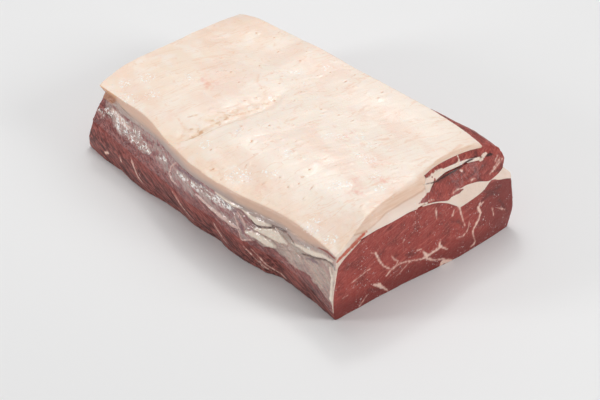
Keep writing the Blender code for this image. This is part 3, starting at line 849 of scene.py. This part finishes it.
skin = LAYERS["silverskin"]
skin_places = loin(skin.points)
side = skin_places[:, [0, 2]]
SIDE_STROKES = {
    "folds": FOLDS,
    "cracks": SIDE_CRACKS,
    "fine_cracks": FINE_CRACKS,
    "pale": PALE_STROKES,
    "purple": DARK_REFLECTIONS,
}
for name, drawn in SIDE_STROKES.items():
    skin.marks[name] = strokes(side, drawn)
skin_height = 0.4 * clouds(skin_places, (22, 12, 12), 2) + 0.4 * clouds(skin_places, (6, 4, 4), 3, 5.0)
skin_height += 0.25 * veins(turned(skin_places[:, [0, 2, 1]], 14), (22, 5, 5), 2.0)
skin_height += 0.9 * ease(0.5 - skin.marks["folds"] / 3) - 1.1 * ease(0.6 - skin.marks["cracks"])
skin_height += 0.5 * ease(0.5 - skin.marks["pale"]) - 0.35 * ease(0.6 - skin.marks["fine_cracks"])
chine_cut_marks(skin)
film_edge = (skin_places[:, 2] - follow(FILM_FOOT, skin_places[:, 0])) / 5
skin.marks["film"] = film_edge + 0.5 + 0.5 * clouds(skin_places, (10, 6, 6), 3, 1.0)
skin.marks["glint"] = ease(0.5 - strokes(side, GLINT_ROUTES) / 3)
skin.marks["thick"] = ramp(skin_places[:, 0], 114, 84)
skin.marks["end_face"] = face_share(skin) * (skin_places[:, 0] < END_DEPTH)
# Painted shade near the foot of the chine side
skin.marks["low"] = chine_foot_shade(skin)
bevel_marks(skin)
skin.marks["wet"] = skin.marks["glint"] * ease(0.4 + 3 * clouds(skin_places, (8, 5, 5), 2, 17.0))
raise_surface(skin, skin_places, skin_height, 2)

# %% [markdown]
# ## Seam, fold and flap
#
# The flap muscle lies over the eye, turns back on itself at the flank, and holds white fat
# in its fold. Its fibres run along the loin, so its outer side looks stringy.

# %% Marks on the flap, as (across, height) in mm
FLAP_MARKS = read_strokes("""
lobe_dot: 160.6,73.6 162,73.4 | 1.5 1.1;
low_streak: 143.5,62.8 149.7,63.1 152.3,63.1 | 0.3 0.7 0.2;
pink_streak: 166.2,64.8 170.6,64.5 | 0.3 0.8;
right_streak: 187.8,62.2 192,63.2 195.5,64.4 199.2,65.4 207.7,66.5 | 0.1 0.5 0.7 0.2;
outer_streak: 193.9,64.9 198.8,66.4 205.1,67.9 | 0.1 0.6 0.2;
upper_streak: 198,68.6 204,70.2 | 0.1 0.5 0.1;
tip_streak: 104,72.2 111,71.2 118,69.2 | 0.1 0.3 0.1;
""")
FLAP_FAT = read_strokes("""
strip_low: 116,79.8 127,79.3 136,79.2 142,79.2 147,78.2 | 3.0 3.5 3.6 3.2 0.8;
strip_gap: 165.6,83 165.2,80.6 163.3,78.6 158,77.6 | 0.6 0.6 1.2 0.8;
fold_end: 182,74.8 185,74.8 187,75.4 190,75.7 193.5,75.4 | 0.8 2.4 2.4 1.8 1.2;
""")
FLAP_DARK = read_strokes("""
blotch: 140,71.6 148,69.4 154,68.2 159.4,68.2 | 0.6 2.4 2.0 0.4;
red_line: 173,64.5 184.2,64.1 188,64.2 | 0.3 0.8 0.4;
right_dark: 192.5,62.4 197.8,61.8 203,61 | 0.8 2.4 1.4;
under_crack: 131,75.4 146,73.4 160,74.4 | 0.6 1.6 0.4;
long_line: 150,65.8 165,67.4 180,68.2 190,68.4 | 0.2 1.0 0.9 0.2;
""")

flap = LAYERS["flap_muscle"]
flap_places = loin(flap.points)
flap.marks["marbling"] = cut_face_marks(flap, FLAP_MARKS)
flap.marks["fat_paint"] = near_strokes(flap, FLAP_FAT, ANY_SLANT)
flap.marks["dark"] = cut_face_marks(flap, FLAP_DARK)
flap_grain = clouds(flap_places, (26, 3, 3), 2, 3.0)
back, across, height = flap_places.T
swell = bell(back - 52, 36) * ramp(across, 192, 204) * ramp(height, 62, 72)
flap_height = 2.6 * swell + 0.3 * clouds(flap_places, 10, 2, 6.0)
flap_height += (0.55 - 0.3 * face_share(flap)) * flap_grain
flap.marks["fold_crack"] = near_strokes(flap, FOLD_CRACK)
# Painted highlights: white flecks are painted in patches of the cut face
flap.marks["wet"] = 0.5 * face_share(flap) * ease(0.3 + 2 * clouds(flap_places, 9, 2, 4.0))
flap.marks["low"] = flap.marks["shade"] = np.zeros(len(flap.points))
raise_surface(flap, flap_places, flap_height, 3)
for name in ("seam_fat", "fold_fat"):
    layer = LAYERS[name]
    places = loin(layer.points)
    height = 0.3 * clouds(places, 11, 2, 6.0) + 0.2 * clouds(places, (9, 3, 3), 2, 2.0)
    bevel_marks(layer)
    raise_surface(layer, places, height, 3)

# %% [markdown]
# ## Finishes
#
# Every finish is a Principled shader with some light under the surface, since fat and meat
# let light in, and a thin coat for the wet. Patterns read Object coordinates in metres, so a
# small class keeps the sizes in millimetres and the node calls short.


# %% A finish that is being mixed
def paint(red, green, blue):
    """Linear colour from the 0 to 255 values seen on a screen."""
    channels = [value / 255 for value in (red, green, blue)]
    linear = [v / 12.92 if v <= 0.04045 else ((v + 0.055) / 1.055) ** 2.4 for v in channels]
    return (*linear, 1.0)


FINISH_SOCKETS = (
    "Subsurface Weight",
    "Subsurface Radius",
    "Subsurface Scale",
    "Coat Weight",
    "Coat Roughness",
)


class Finish:
    """A Principled material, the colour that is mixed for it, and short calls that add nodes."""

    def __init__(self, name, inner, coat):
        """inner: weight, radius and scale of the light under the surface; coat: weight, roughness."""
        self.material = bpy.data.materials.new(name)
        self.material.use_nodes = True
        self.tree = self.material.node_tree
        self.shader = self.tree.nodes["Principled BSDF"]
        self.places = self.tree.nodes.new("ShaderNodeTexCoord").outputs["Object"]
        for socket, value in zip(FINISH_SOCKETS, inner + coat):
            self.shader.inputs[socket].default_value = value

    def node(self, kind, inputs, output=0, **settings):
        """Add a node with linked or fixed inputs, and hand back one of its outputs."""
        node = self.tree.nodes.new(kind)
        for key, value in settings.items():
            setattr(node, key, value)
        for key, value in inputs.items():
            if isinstance(value, bpy.types.NodeSocket):
                self.tree.links.new(value, node.inputs[key])
            else:
                node.inputs[key].default_value = value
        return node.outputs[output]

    def grid(self, sizes_mm, turn):
        """Coordinates that count cells of these sizes in mm, turned by degrees."""
        aligned = self.node("ShaderNodeMapping", {0: self.places, 2: tuple(map(math.radians, turn))})
        return self.node("ShaderNodeMapping", {0: aligned, 3: tuple(1 / (size * MM) for size in sizes_mm)})

    def cloud(self, sizes_mm, turn=(0, 0, 0), detail=3.0, roughness=0.5, distortion=0.0):
        inputs = {"Vector": self.grid(sizes_mm, turn), "Scale": 1.0, "Detail": detail}
        inputs.update({"Roughness": roughness, "Distortion": distortion})
        return self.node("ShaderNodeTexNoise", inputs)

    def cell_edges(self, sizes_mm, turn):
        inputs = {"Vector": self.grid(sizes_mm, turn), "Scale": 1.0}
        return self.node("ShaderNodeTexVoronoi", inputs, feature="DISTANCE_TO_EDGE")

    def step(self, value, low, high):
        """0 at low, 1 at high, with soft ends; low may be the larger of the two."""
        inputs = {0: value, 1: low, 2: high, 3: 0.0, 4: 1.0}
        return self.node("ShaderNodeMapRange", inputs, interpolation_type="SMOOTHSTEP")

    def sum(self, first, second, times):
        """The first value and so many times the second."""
        return self.node("ShaderNodeMath", {0: second, 1: times, 2: first}, operation="MULTIPLY_ADD")

    def times(self, first, second):
        return self.node("ShaderNodeMath", {0: first, 1: second}, operation="MULTIPLY")

    def mark(self, name):
        return self.node("ShaderNodeAttribute", {}, output=2, attribute_name=name)

    def thin_line(self, value, middle, width):
        """1 where a value is just in the middle, 0 beyond the width."""
        return self.times(self.step(value, middle - width, middle), self.step(value, middle + width, middle))

    def outline(self, name, wobble_mm, soft_mm, size_mm=3.0):
        """1 inside a stroke, with an outline that wanders."""
        wander = self.sum(self.mark(name), self.cloud((size_mm,) * 3, detail=4.0), wobble_mm)
        return self.step(wander, wobble_mm / 2 + soft_mm, wobble_mm / 2 - soft_mm)

    def mix(self, share, under, over):
        return self.node("ShaderNodeMix", {0: share, 6: under, 7: over}, output=2, data_type="RGBA")

    def lay(self, tint, where, share=None):
        """Lay a tint over the colour where a mask is 1, all of it or only a share."""
        if share is not None:
            where = self.times(where, share)
        self.colour = self.mix(where, self.colour, tint)

    def lay_stroke(self, tint, name, wobble_mm, soft_mm, size_mm=3.0, share=None):
        """Lay a tint over the colour inside a stroke."""
        self.lay(tint, self.outline(name, wobble_mm, soft_mm, size_mm), share)

    def bump(self, height, distance_mm, under=None):
        inputs = {"Height": height, "Distance": distance_mm * MM, "Strength": 1.0}
        if under is not None:
            inputs["Normal"] = under
        return self.node("ShaderNodeBump", inputs)

    def wear(self, rough, normal):
        """Link the mixed colour, the roughness and the normal to the shader."""
        worn = {"Base Color": self.colour, "Roughness": rough, "Normal": normal}
        for key, value in worn.items():
            self.tree.links.new(value, self.shader.inputs[key])
        print(self.material.name, "is mixed with", len(self.tree.nodes), "nodes")
        return self.material


# %% Lean meat
MEAT = paint(155, 57, 49)
MEAT_DARK = paint(120, 40, 34)
MEAT_PINK = paint(192, 100, 88)
FLAP_MEAT = paint(147, 58, 51)
FLAP_DEEP = paint(104, 42, 38)
MEAT_BRIGHT = paint(176, 68, 50)
FAT_LINE = paint(236, 200, 184)
# The next two colours are painted shade near the foot of the chine side; the first also paints dark patches
# in the lean
LOW_DARK = paint(72, 30, 28)
SHADE_BROWN = paint(154, 86, 78)
STRIP_WHITE = paint(234, 210, 194)
SPARK = paint(255, 250, 244)
CRACK_DARK = paint(66, 30, 26)
FIBRE_TURN = (0, -22, 4)
FACE_TURN = (-18, 0, 0)


def mix_lean(look, base, dark):
    """Start with the colour of lean and its fibres, and give back the two fibre patterns."""
    broad = look.cloud((24, 13, 11), FACE_TURN, detail=4.0, roughness=0.6)
    streak = look.cloud((6, 10, 1.3), FACE_TURN, detail=4.0, roughness=0.65, distortion=0.5)
    string = look.cloud((24, 1.3, 1.3), FIBRE_TURN, detail=4.0, roughness=0.6)
    look.colour = look.mix(look.step(broad, 0.32, 0.52), dark, base)
    look.lay(MEAT_BRIGHT, look.step(broad, 0.58, 0.74), 0.5)
    look.lay(MEAT_PINK, look.step(string, 0.5, 0.72), 0.5)
    look.lay(MEAT_PINK, look.step(streak, 0.50, 0.68), 0.8)
    look.lay(dark, look.step(streak, 0.46, 0.30), 0.75)
    return streak, string


def lay_foot_shade(look, string):
    """Painted shade: darken the lean near the foot of the chine side."""
    low = look.mix(look.step(string, 0.43, 0.6), LOW_DARK, SHADE_BROWN)
    look.lay(low, look.mark("low"), 0.95)


def lean_finish(name, base, dark):
    """Fibres run along the loin: fine streaks on the cut face, strings on the sides."""
    look = Finish(name, inner=(0.1, (1.0, 0.25, 0.15), 0.002), coat=(0.12, 0.12))
    look.shader.inputs["Specular IOR Level"].default_value = 0.35
    streak, string = mix_lean(look, base, dark)
    bundle = look.cell_edges((40, 3.4, 2.4), FIBRE_TURN)
    look.lay(MEAT_PINK, look.step(bundle, 0.10, 0.0), 0.22)
    # Painted shade: the cut face darker towards the flank side and the foot, and the chine side darker near
    # its foot
    look.lay(dark, look.mark("shade"), 0.85)
    lay_foot_shade(look, string)
    look.lay_stroke(LOW_DARK, "dark", 4.0, 1.6, 4.0, share=0.5)
    look.lay_stroke(MEAT_PINK, "marbling", 3.4, 2.0, share=0.5)
    look.lay_stroke(FAT_LINE, "marbling", 3.4, 1.0, 2.6)
    look.lay_stroke(STRIP_WHITE, "fat_paint", 2.4, 0.4)
    # Painted shade in the crack of the fold
    look.lay_stroke(CRACK_DARK, "fold_crack", 0.8, 0.35)
    # Painted highlights: white flecks where the surface is wet
    painted_glints = look.step(look.cloud((1.3, 1.3, 1.3), detail=1.0), 0.69, 0.73)
    look.lay(SPARK, painted_glints, look.times(look.mark("wet"), 0.55))
    rough = look.sum(0.3, look.cloud((5, 3, 3), detail=2.0), 0.3)
    normal = look.bump(string, 0.6, look.bump(look.step(bundle, 0.0, 0.2), 0.12))
    normal = look.bump(streak, 0.35, normal)
    normal = look.bump(look.cloud((0.8, 0.8, 0.8), detail=2.0), 0.22, normal)
    return look.wear(rough, normal)


# %% Fat
CREAM = paint(250, 234, 220)
BLUSH = paint(247, 223, 207)
WARM = paint(234, 188, 156)
GOLDEN = paint(234, 200, 168)
HOLLOW_TAN = paint(208, 160, 120)
ROSE = paint(238, 172, 154)
NICK_TAN = paint(218, 158, 120)
CUT_FAT = paint(216, 180, 158)
CUT_FAT_LOW = paint(180, 158, 150)
# The next two colours are painted shade on the slope under the cap's far corner
FACET_SHADE_BROWN = paint(176, 122, 94)
FACET_SHADE_TAN = paint(216, 166, 128)
SIDE_RED = paint(150, 74, 60)
PEACH = paint(244, 212, 184)
INNER_FAT = paint(230, 206, 190)
BEVEL_PINK = paint(236, 206, 186)
BEVEL_TAN = paint(228, 192, 166)
BROWN = paint(200, 152, 120)
STRIP_RED = paint(196, 92, 66)
FLOW_TURN = (0, 0, FLOW)


def fat_base(name):
    """Cream fat with a faint blush, warm spots and thin winding lines."""
    look = Finish(name, inner=(0.25, (1.0, 0.6, 0.42), 0.003), coat=(0.2, 0.18))
    broad = look.cloud((46, 30, 30), FLOW_TURN, detail=4.0, distortion=0.6)
    look.colour = look.mix(look.step(broad, 0.42, 0.68), CREAM, BLUSH)
    for size, width, share in ((13, 0.014, 0.38), (7, 0.010, 0.25)):
        line = look.cloud((size, size * 5, size * 5), FLOW_TURN, detail=3.0, distortion=0.5)
        look.lay(WARM, look.thin_line(line, 0.5, width), share)
    spot = look.cloud((12, 7, 7), FLOW_TURN, detail=5.0, roughness=0.6)
    look.lay(WARM, look.step(spot, 0.60, 0.74), 0.45)
    return look


def fat_surface(look):
    """Roughness of fat, and its fine dimples."""
    rough = look.sum(0.24, look.cloud((14, 9, 9), detail=3.0), 0.36)
    normal = look.bump(look.cloud((3.2, 6.0, 3.2), FLOW_TURN, detail=5.0, roughness=0.6), 0.2)
    return rough, look.bump(look.cloud((1.0, 1.0, 1.0), detail=3.0), 0.12, normal)


def lay_cut_strokes(look):
    """The lean tip of the lobe, the red strip under the cap, and painted shade in the crack of the fold."""
    fat = look.colour
    mix_lean(look, FLAP_MEAT, FLAP_DEEP)
    look.colour = look.mix(look.outline("lean_patch", 1.6, 0.3), fat, look.colour)
    look.lay_stroke(STRIP_RED, "red_strip", 1.6, 0.5)
    look.lay_stroke(CRACK_DARK, "fold_crack", 0.8, 0.35)


def cut_fat(look):
    """The knife's cut through the cap: warm above, grey below, and painted shade, brown and tan, where it
    turns away at the far corner.
    """
    uneven = look.sum(look.mark("cap_line"), look.cloud((30, 8, 8), detail=3.0), 8.0)
    side = look.mix(look.step(uneven, 4.0, 12.0), CUT_FAT_LOW, CUT_FAT)
    facet = look.mix(look.step(uneven, 8.0, 20.0), FACET_SHADE_BROWN, FACET_SHADE_TAN)
    return look.mix(look.mark("far_corner"), side, facet)


def mix_bevel(look):
    """The sloping front of the cap: streaky above a thin brown line, and white below it."""
    streak = look.cloud((1.6, 30, 1.6), detail=4.0, distortion=0.3)
    look.colour = look.mix(look.step(streak, 0.35, 0.7), BEVEL_PINK, BEVEL_TAN)
    line = look.mark("under_line")
    look.lay(STRIP_WHITE, look.step(line, -0.3, 0.3))
    look.lay(BROWN, look.thin_line(line, 0.0, 0.9), 0.5)
    lay_cut_strokes(look)


def cap_finish():
    look = fat_base("cap_fat")
    look.lay(PEACH, look.mark("peach"), 0.6)
    look.lay_stroke(WARM, "smear", 5.0, 1.6, 5.0, share=0.5)
    rosy = look.step(look.cloud((5, 4, 4), detail=5.0, roughness=0.65), 0.4, 0.66)
    look.lay(ROSE, look.times(look.mark("blush"), rosy), 0.6)
    # Painted shade: golden between the lumps and along the crease, tan in its hollows
    look.lay(GOLDEN, look.mark("lump_shade"), 0.35)
    look.lay_stroke(GOLDEN, "hollow", 3.0, 2.6, 4.0, share=0.65)
    broken = look.step(look.cloud((8, 6, 6), detail=4.0), 0.40, 0.58)
    look.lay_stroke(HOLLOW_TAN, "hollow", 3.0, 1.3, share=look.times(broken, 0.85))
    # Painted shade in the nicks: warm around them, tan inside
    look.lay_stroke(WARM, "nick", 1.6, 1.4, 1.6, share=0.35)
    look.lay_stroke(NICK_TAN, "nick", 1.6, 0.5, 1.6, share=0.8)
    side = look.mix(look.outline("side_strip", 1.2, 0.6), cut_fat(look), SIDE_RED)
    look.lay(side, look.mark("cut_side"))
    # Painted highlights: white sparks where the top is wet
    grains = look.step(look.cloud((2.0, 2.0, 2.0), detail=2.0), 0.57, 0.61)
    look.lay(SPARK, grains, look.step(look.mark("wet"), 0.05, 0.5))
    top_colour = look.colour
    mix_bevel(look)
    look.colour = look.mix(look.mark("bevel"), top_colour, look.colour)
    rough, normal = fat_surface(look)
    rough = look.sum(look.sum(rough, look.mark("wet"), -0.1), look.mark("creased"), 0.2)
    return look.wear(rough, normal)


def inner_fat_finish(name):
    look = fat_base(name)
    look.lay(INNER_FAT, 0.75)
    lay_cut_strokes(look)
    return look.wear(*fat_surface(look))


# %% Silverskin
SILVER = paint(206, 180, 172)
SILVER_MAUVE = paint(172, 112, 112)
SILVER_CREAM = paint(246, 230, 212)
PAD_GREY = paint(228, 208, 192)
PAD_MAUVE = paint(206, 178, 168)
PALE_PINK = paint(226, 188, 176)
PURPLE = paint(112, 74, 86)
SIDE_MEAT = paint(134, 54, 52)
SIDE_PINK = paint(178, 106, 100)
CRACK_BROWN = paint(86, 62, 58)
CRACK_TAN = paint(170, 132, 108)


def skin_finish():
    """Glossy film over red meat, with pads, folds and cracks nearer the cut end."""
    look = Finish("silverskin", inner=(0.15, (1.0, 0.4, 0.3), 0.002), coat=(0.6, 0.12))
    string = look.cloud((24, 1.6, 1.6), FIBRE_TURN, detail=4.0, roughness=0.6)
    patch = look.cloud((12, 4, 4), FIBRE_TURN, detail=6.0, roughness=0.65)
    thin = look.mix(look.step(patch, 0.42, 0.56), SILVER_MAUVE, SILVER)
    pad = look.cloud((12, 7, 7), FIBRE_TURN, detail=4.0)
    thick = look.mix(look.step(pad, 0.46, 0.66), PAD_GREY, PAD_MAUVE)
    look.colour = look.mix(look.step(string, 0.45, 0.75), SIDE_MEAT, SIDE_PINK)
    film = look.mix(look.mark("thick"), thin, thick)
    look.lay(film, look.step(look.mark("film"), 0.25, 0.75))
    # Painted shade near the foot of the chine side
    lay_foot_shade(look, string)
    # Painted dark reflections and shade
    look.lay_stroke(PURPLE, "purple", 3.0, 1.2, share=0.75)
    look.lay_stroke(PALE_PINK, "pale", 2.6, 0.8, 2.0, share=0.75)
    look.lay_stroke(SILVER_CREAM, "folds", 1.2, 1.0, share=0.85)
    # Painted shade in the cracks
    look.lay_stroke(CRACK_TAN, "fine_cracks", 0.8, 0.5, share=0.6)
    look.lay_stroke(CRACK_BROWN, "cracks", 1.2, 0.7, share=0.85)
    # Painted highlights: a pale sheen and white sparks along the glint routes
    look.lay(SILVER_CREAM, look.mark("glint"), 0.12)
    shard = look.cloud((4.0, 2.0, 2.0), FIBRE_TURN, detail=6.0, roughness=0.7, distortion=0.5)
    clump = look.cloud((14.0, 6.0, 6.0), FIBRE_TURN, detail=2.0)
    look.lay(SPARK, look.step(look.sum(shard, clump, 0.35), 0.69, 0.75), look.mark("glint"))
    look.lay(cut_fat(look), look.step(look.mark("cap_line"), -0.4, 0.4))
    look.lay(STRIP_WHITE, look.mark("end_face"))
    lay_cut_strokes(look)
    rough = look.sum(0.16, look.cloud((6, 4, 4), detail=3.0), 0.26)
    normal = look.bump(look.cloud((3.4, 2.0, 2.0), FIBRE_TURN, detail=4.0, roughness=0.6), 0.8)
    return look.wear(rough, look.bump(string, 0.3, normal))


# %% [markdown]
# ## Putting the layers in place
#
# Each fine mesh takes the place of its plain solid and rides on the loin's one body.

# %% Build the pieces
CREASE_ANGLE = math.radians(50)


def place_piece(layer, material, slot):
    """Make the mesh object of a worked layer and let it stand for its solid."""
    mesh = bpy.data.meshes.new(layer.name + "_fine")
    mesh.from_pydata(layer.points.tolist(), [], layer.faces.tolist())
    for name, values in layer.marks.items():
        attribute = mesh.attributes.new(name, "FLOAT", "POINT")
        attribute.data.foreach_set("value", values.astype(np.float32))
    mesh.shade_smooth()
    mesh.set_sharp_from_angle(angle=CREASE_ANGLE)
    mesh.materials.append(material)
    mesh.update()
    piece = bpy.data.objects.new(layer.name + "_fine", mesh)
    bpy.context.scene.collection.objects.link(piece)
    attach(piece, "root")
    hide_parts(layer.name)
    return piece


PIECES = {
    "eye_muscle": (lean_finish("lean", MEAT, MEAT_DARK), "lean"),
    "flap_muscle": (lean_finish("flap_lean", FLAP_MEAT, FLAP_DEEP), "flap_lean"),
    "fat_cap": (cap_finish(), "cap_fat"),
    "seam_fat": (inner_fat_finish("seam_fat"), "seam_fat"),
    "fold_fat": (inner_fat_finish("fold_fat"), "seam_fat"),
    "silverskin": (skin_finish(), "silverskin"),
}
SHOWN_PIECES = {name: place_piece(LAYERS[name], *dress) for name, dress in PIECES.items()}
print("placed:", ", ".join(piece.name for piece in SHOWN_PIECES.values()))

# %% [markdown]
# ## Beads of moisture
#
# A fresh cut sweats: tiny drops stand on it and flash white. They repeat hundreds of times
# and follow the surface, which is what Geometry Nodes are for. The tree scatters points where
# the surface is wet, puts a small flattened bead on each, and makes them real, so that they
# can be kept as a plain mesh. The beads are coloured white, a painted highlight for the flash.


# %% The bead tree
SMALLEST_BEAD = (0.35, 0.35, 0.2)
LARGEST_BEAD = (1.0, 1.0, 0.45)
BEAD_SOCKETS = {
    "Surface": "Geometry",
    "Density": "Float",
    "Bead radius": "Float",
    "Seed": "Int",
    "Water": "Material",
}
BEAD_NODES = {
    "given": "NodeGroupInput",
    "wet": "GeometryNodeInputNamedAttribute",
    "often": "ShaderNodeMath",
    "scatter": "GeometryNodeDistributePointsOnFaces",
    "bead": "GeometryNodeMeshIcoSphere",
    "size": "FunctionNodeRandomValue",
    "place": "GeometryNodeInstanceOnPoints",
    "real": "GeometryNodeRealizeInstances",
    "smooth": "GeometryNodeSetShadeSmooth",
    "coat": "GeometryNodeSetMaterial",
    "made": "NodeGroupOutput",
}
BEAD_LINKS = (
    ("given", "Surface", "scatter", "Mesh"),
    ("given", "Density", "often", 0),
    ("wet", "Attribute", "often", 1),
    ("often", 0, "scatter", "Density"),
    ("given", "Seed", "scatter", "Seed"),
    ("given", "Seed", "size", "Seed"),
    ("given", "Bead radius", "bead", "Radius"),
    ("scatter", "Points", "place", "Points"),
    ("scatter", "Rotation", "place", "Rotation"),
    ("bead", "Mesh", "place", "Instance"),
    ("size", 0, "place", "Scale"),
    ("place", "Instances", "real", "Geometry"),
    ("real", "Geometry", "smooth", "Geometry"),
    ("smooth", "Geometry", "coat", "Geometry"),
    ("given", "Water", "coat", "Material"),
    ("coat", "Geometry", "made", "Beads"),
)


def bead_tree():
    """The tree, and the identifier of each of its named inputs."""
    tree = bpy.data.node_groups.new("moisture_beads", "GeometryNodeTree")
    names = {}
    for name, kind in BEAD_SOCKETS.items():
        socket = tree.interface.new_socket(name, in_out="INPUT", socket_type="NodeSocket" + kind)
        names[name] = socket.identifier
    tree.interface.new_socket("Beads", in_out="OUTPUT", socket_type="NodeSocketGeometry")
    nodes = {name: tree.nodes.new(kind) for name, kind in BEAD_NODES.items()}
    nodes["wet"].data_type = "FLOAT"
    nodes["wet"].inputs["Name"].default_value = "wet"
    nodes["often"].operation = "MULTIPLY"
    nodes["bead"].inputs["Subdivisions"].default_value = 1
    nodes["size"].data_type = "FLOAT_VECTOR"
    nodes["size"].inputs[0].default_value = SMALLEST_BEAD
    nodes["size"].inputs[1].default_value = LARGEST_BEAD
    for source, output, sink, entry in BEAD_LINKS:
        tree.links.new(nodes[source].outputs[output], nodes[sink].inputs[entry])
    return tree, names


BEADS, BEAD_INPUTS = bead_tree()
GLINT_WATER = bpy.data.materials.new("white_glint_beads")
GLINT_WATER.use_nodes = True
water = GLINT_WATER.node_tree.nodes["Principled BSDF"].inputs
# Painted highlight: the beads are nearly white, so that each shows as a white spark
water["Base Color"].default_value = (0.95, 0.93, 0.92, 1.0)
water["Roughness"].default_value = 0.08
water["Coat Weight"].default_value = 1.0
print("bead tree:", len(BEADS.nodes), "nodes, inputs", ", ".join(BEAD_INPUTS))


# %% Scatter the beads
def scatter_beads(piece, slot, density, radius_mm, seed):
    """Beads on one piece, as a plain mesh of their own."""
    carrier = bpy.data.objects.new(piece.name + "_carrier", piece.data)
    bpy.context.scene.collection.objects.link(carrier)
    modifier = carrier.modifiers.new("beads", "NODES")
    modifier.node_group = BEADS
    values = {"Density": density, "Bead radius": radius_mm * MM, "Seed": seed, "Water": GLINT_WATER}
    for name, value in values.items():
        modifier[BEAD_INPUTS[name]] = value
    carrier.update_tag()
    bpy.context.view_layer.update()
    grown = carrier.evaluated_get(bpy.context.evaluated_depsgraph_get())
    mesh = bpy.data.meshes.new_from_object(grown)
    bpy.data.objects.remove(carrier)
    beads = bpy.data.objects.new("beads_on_" + slot, mesh)
    bpy.context.scene.collection.objects.link(beads)
    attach(beads, "root")
    print(beads.name, len(mesh.polygons), "faces")


scatter_beads(SHOWN_PIECES["eye_muscle"], "lean", 18000.0, 0.5, 3)
scatter_beads(SHOWN_PIECES["silverskin"], "silverskin", 160000.0, 0.5, 5)
scatter_beads(SHOWN_PIECES["fat_cap"], "cap_fat", 130000.0, 0.5, 8)
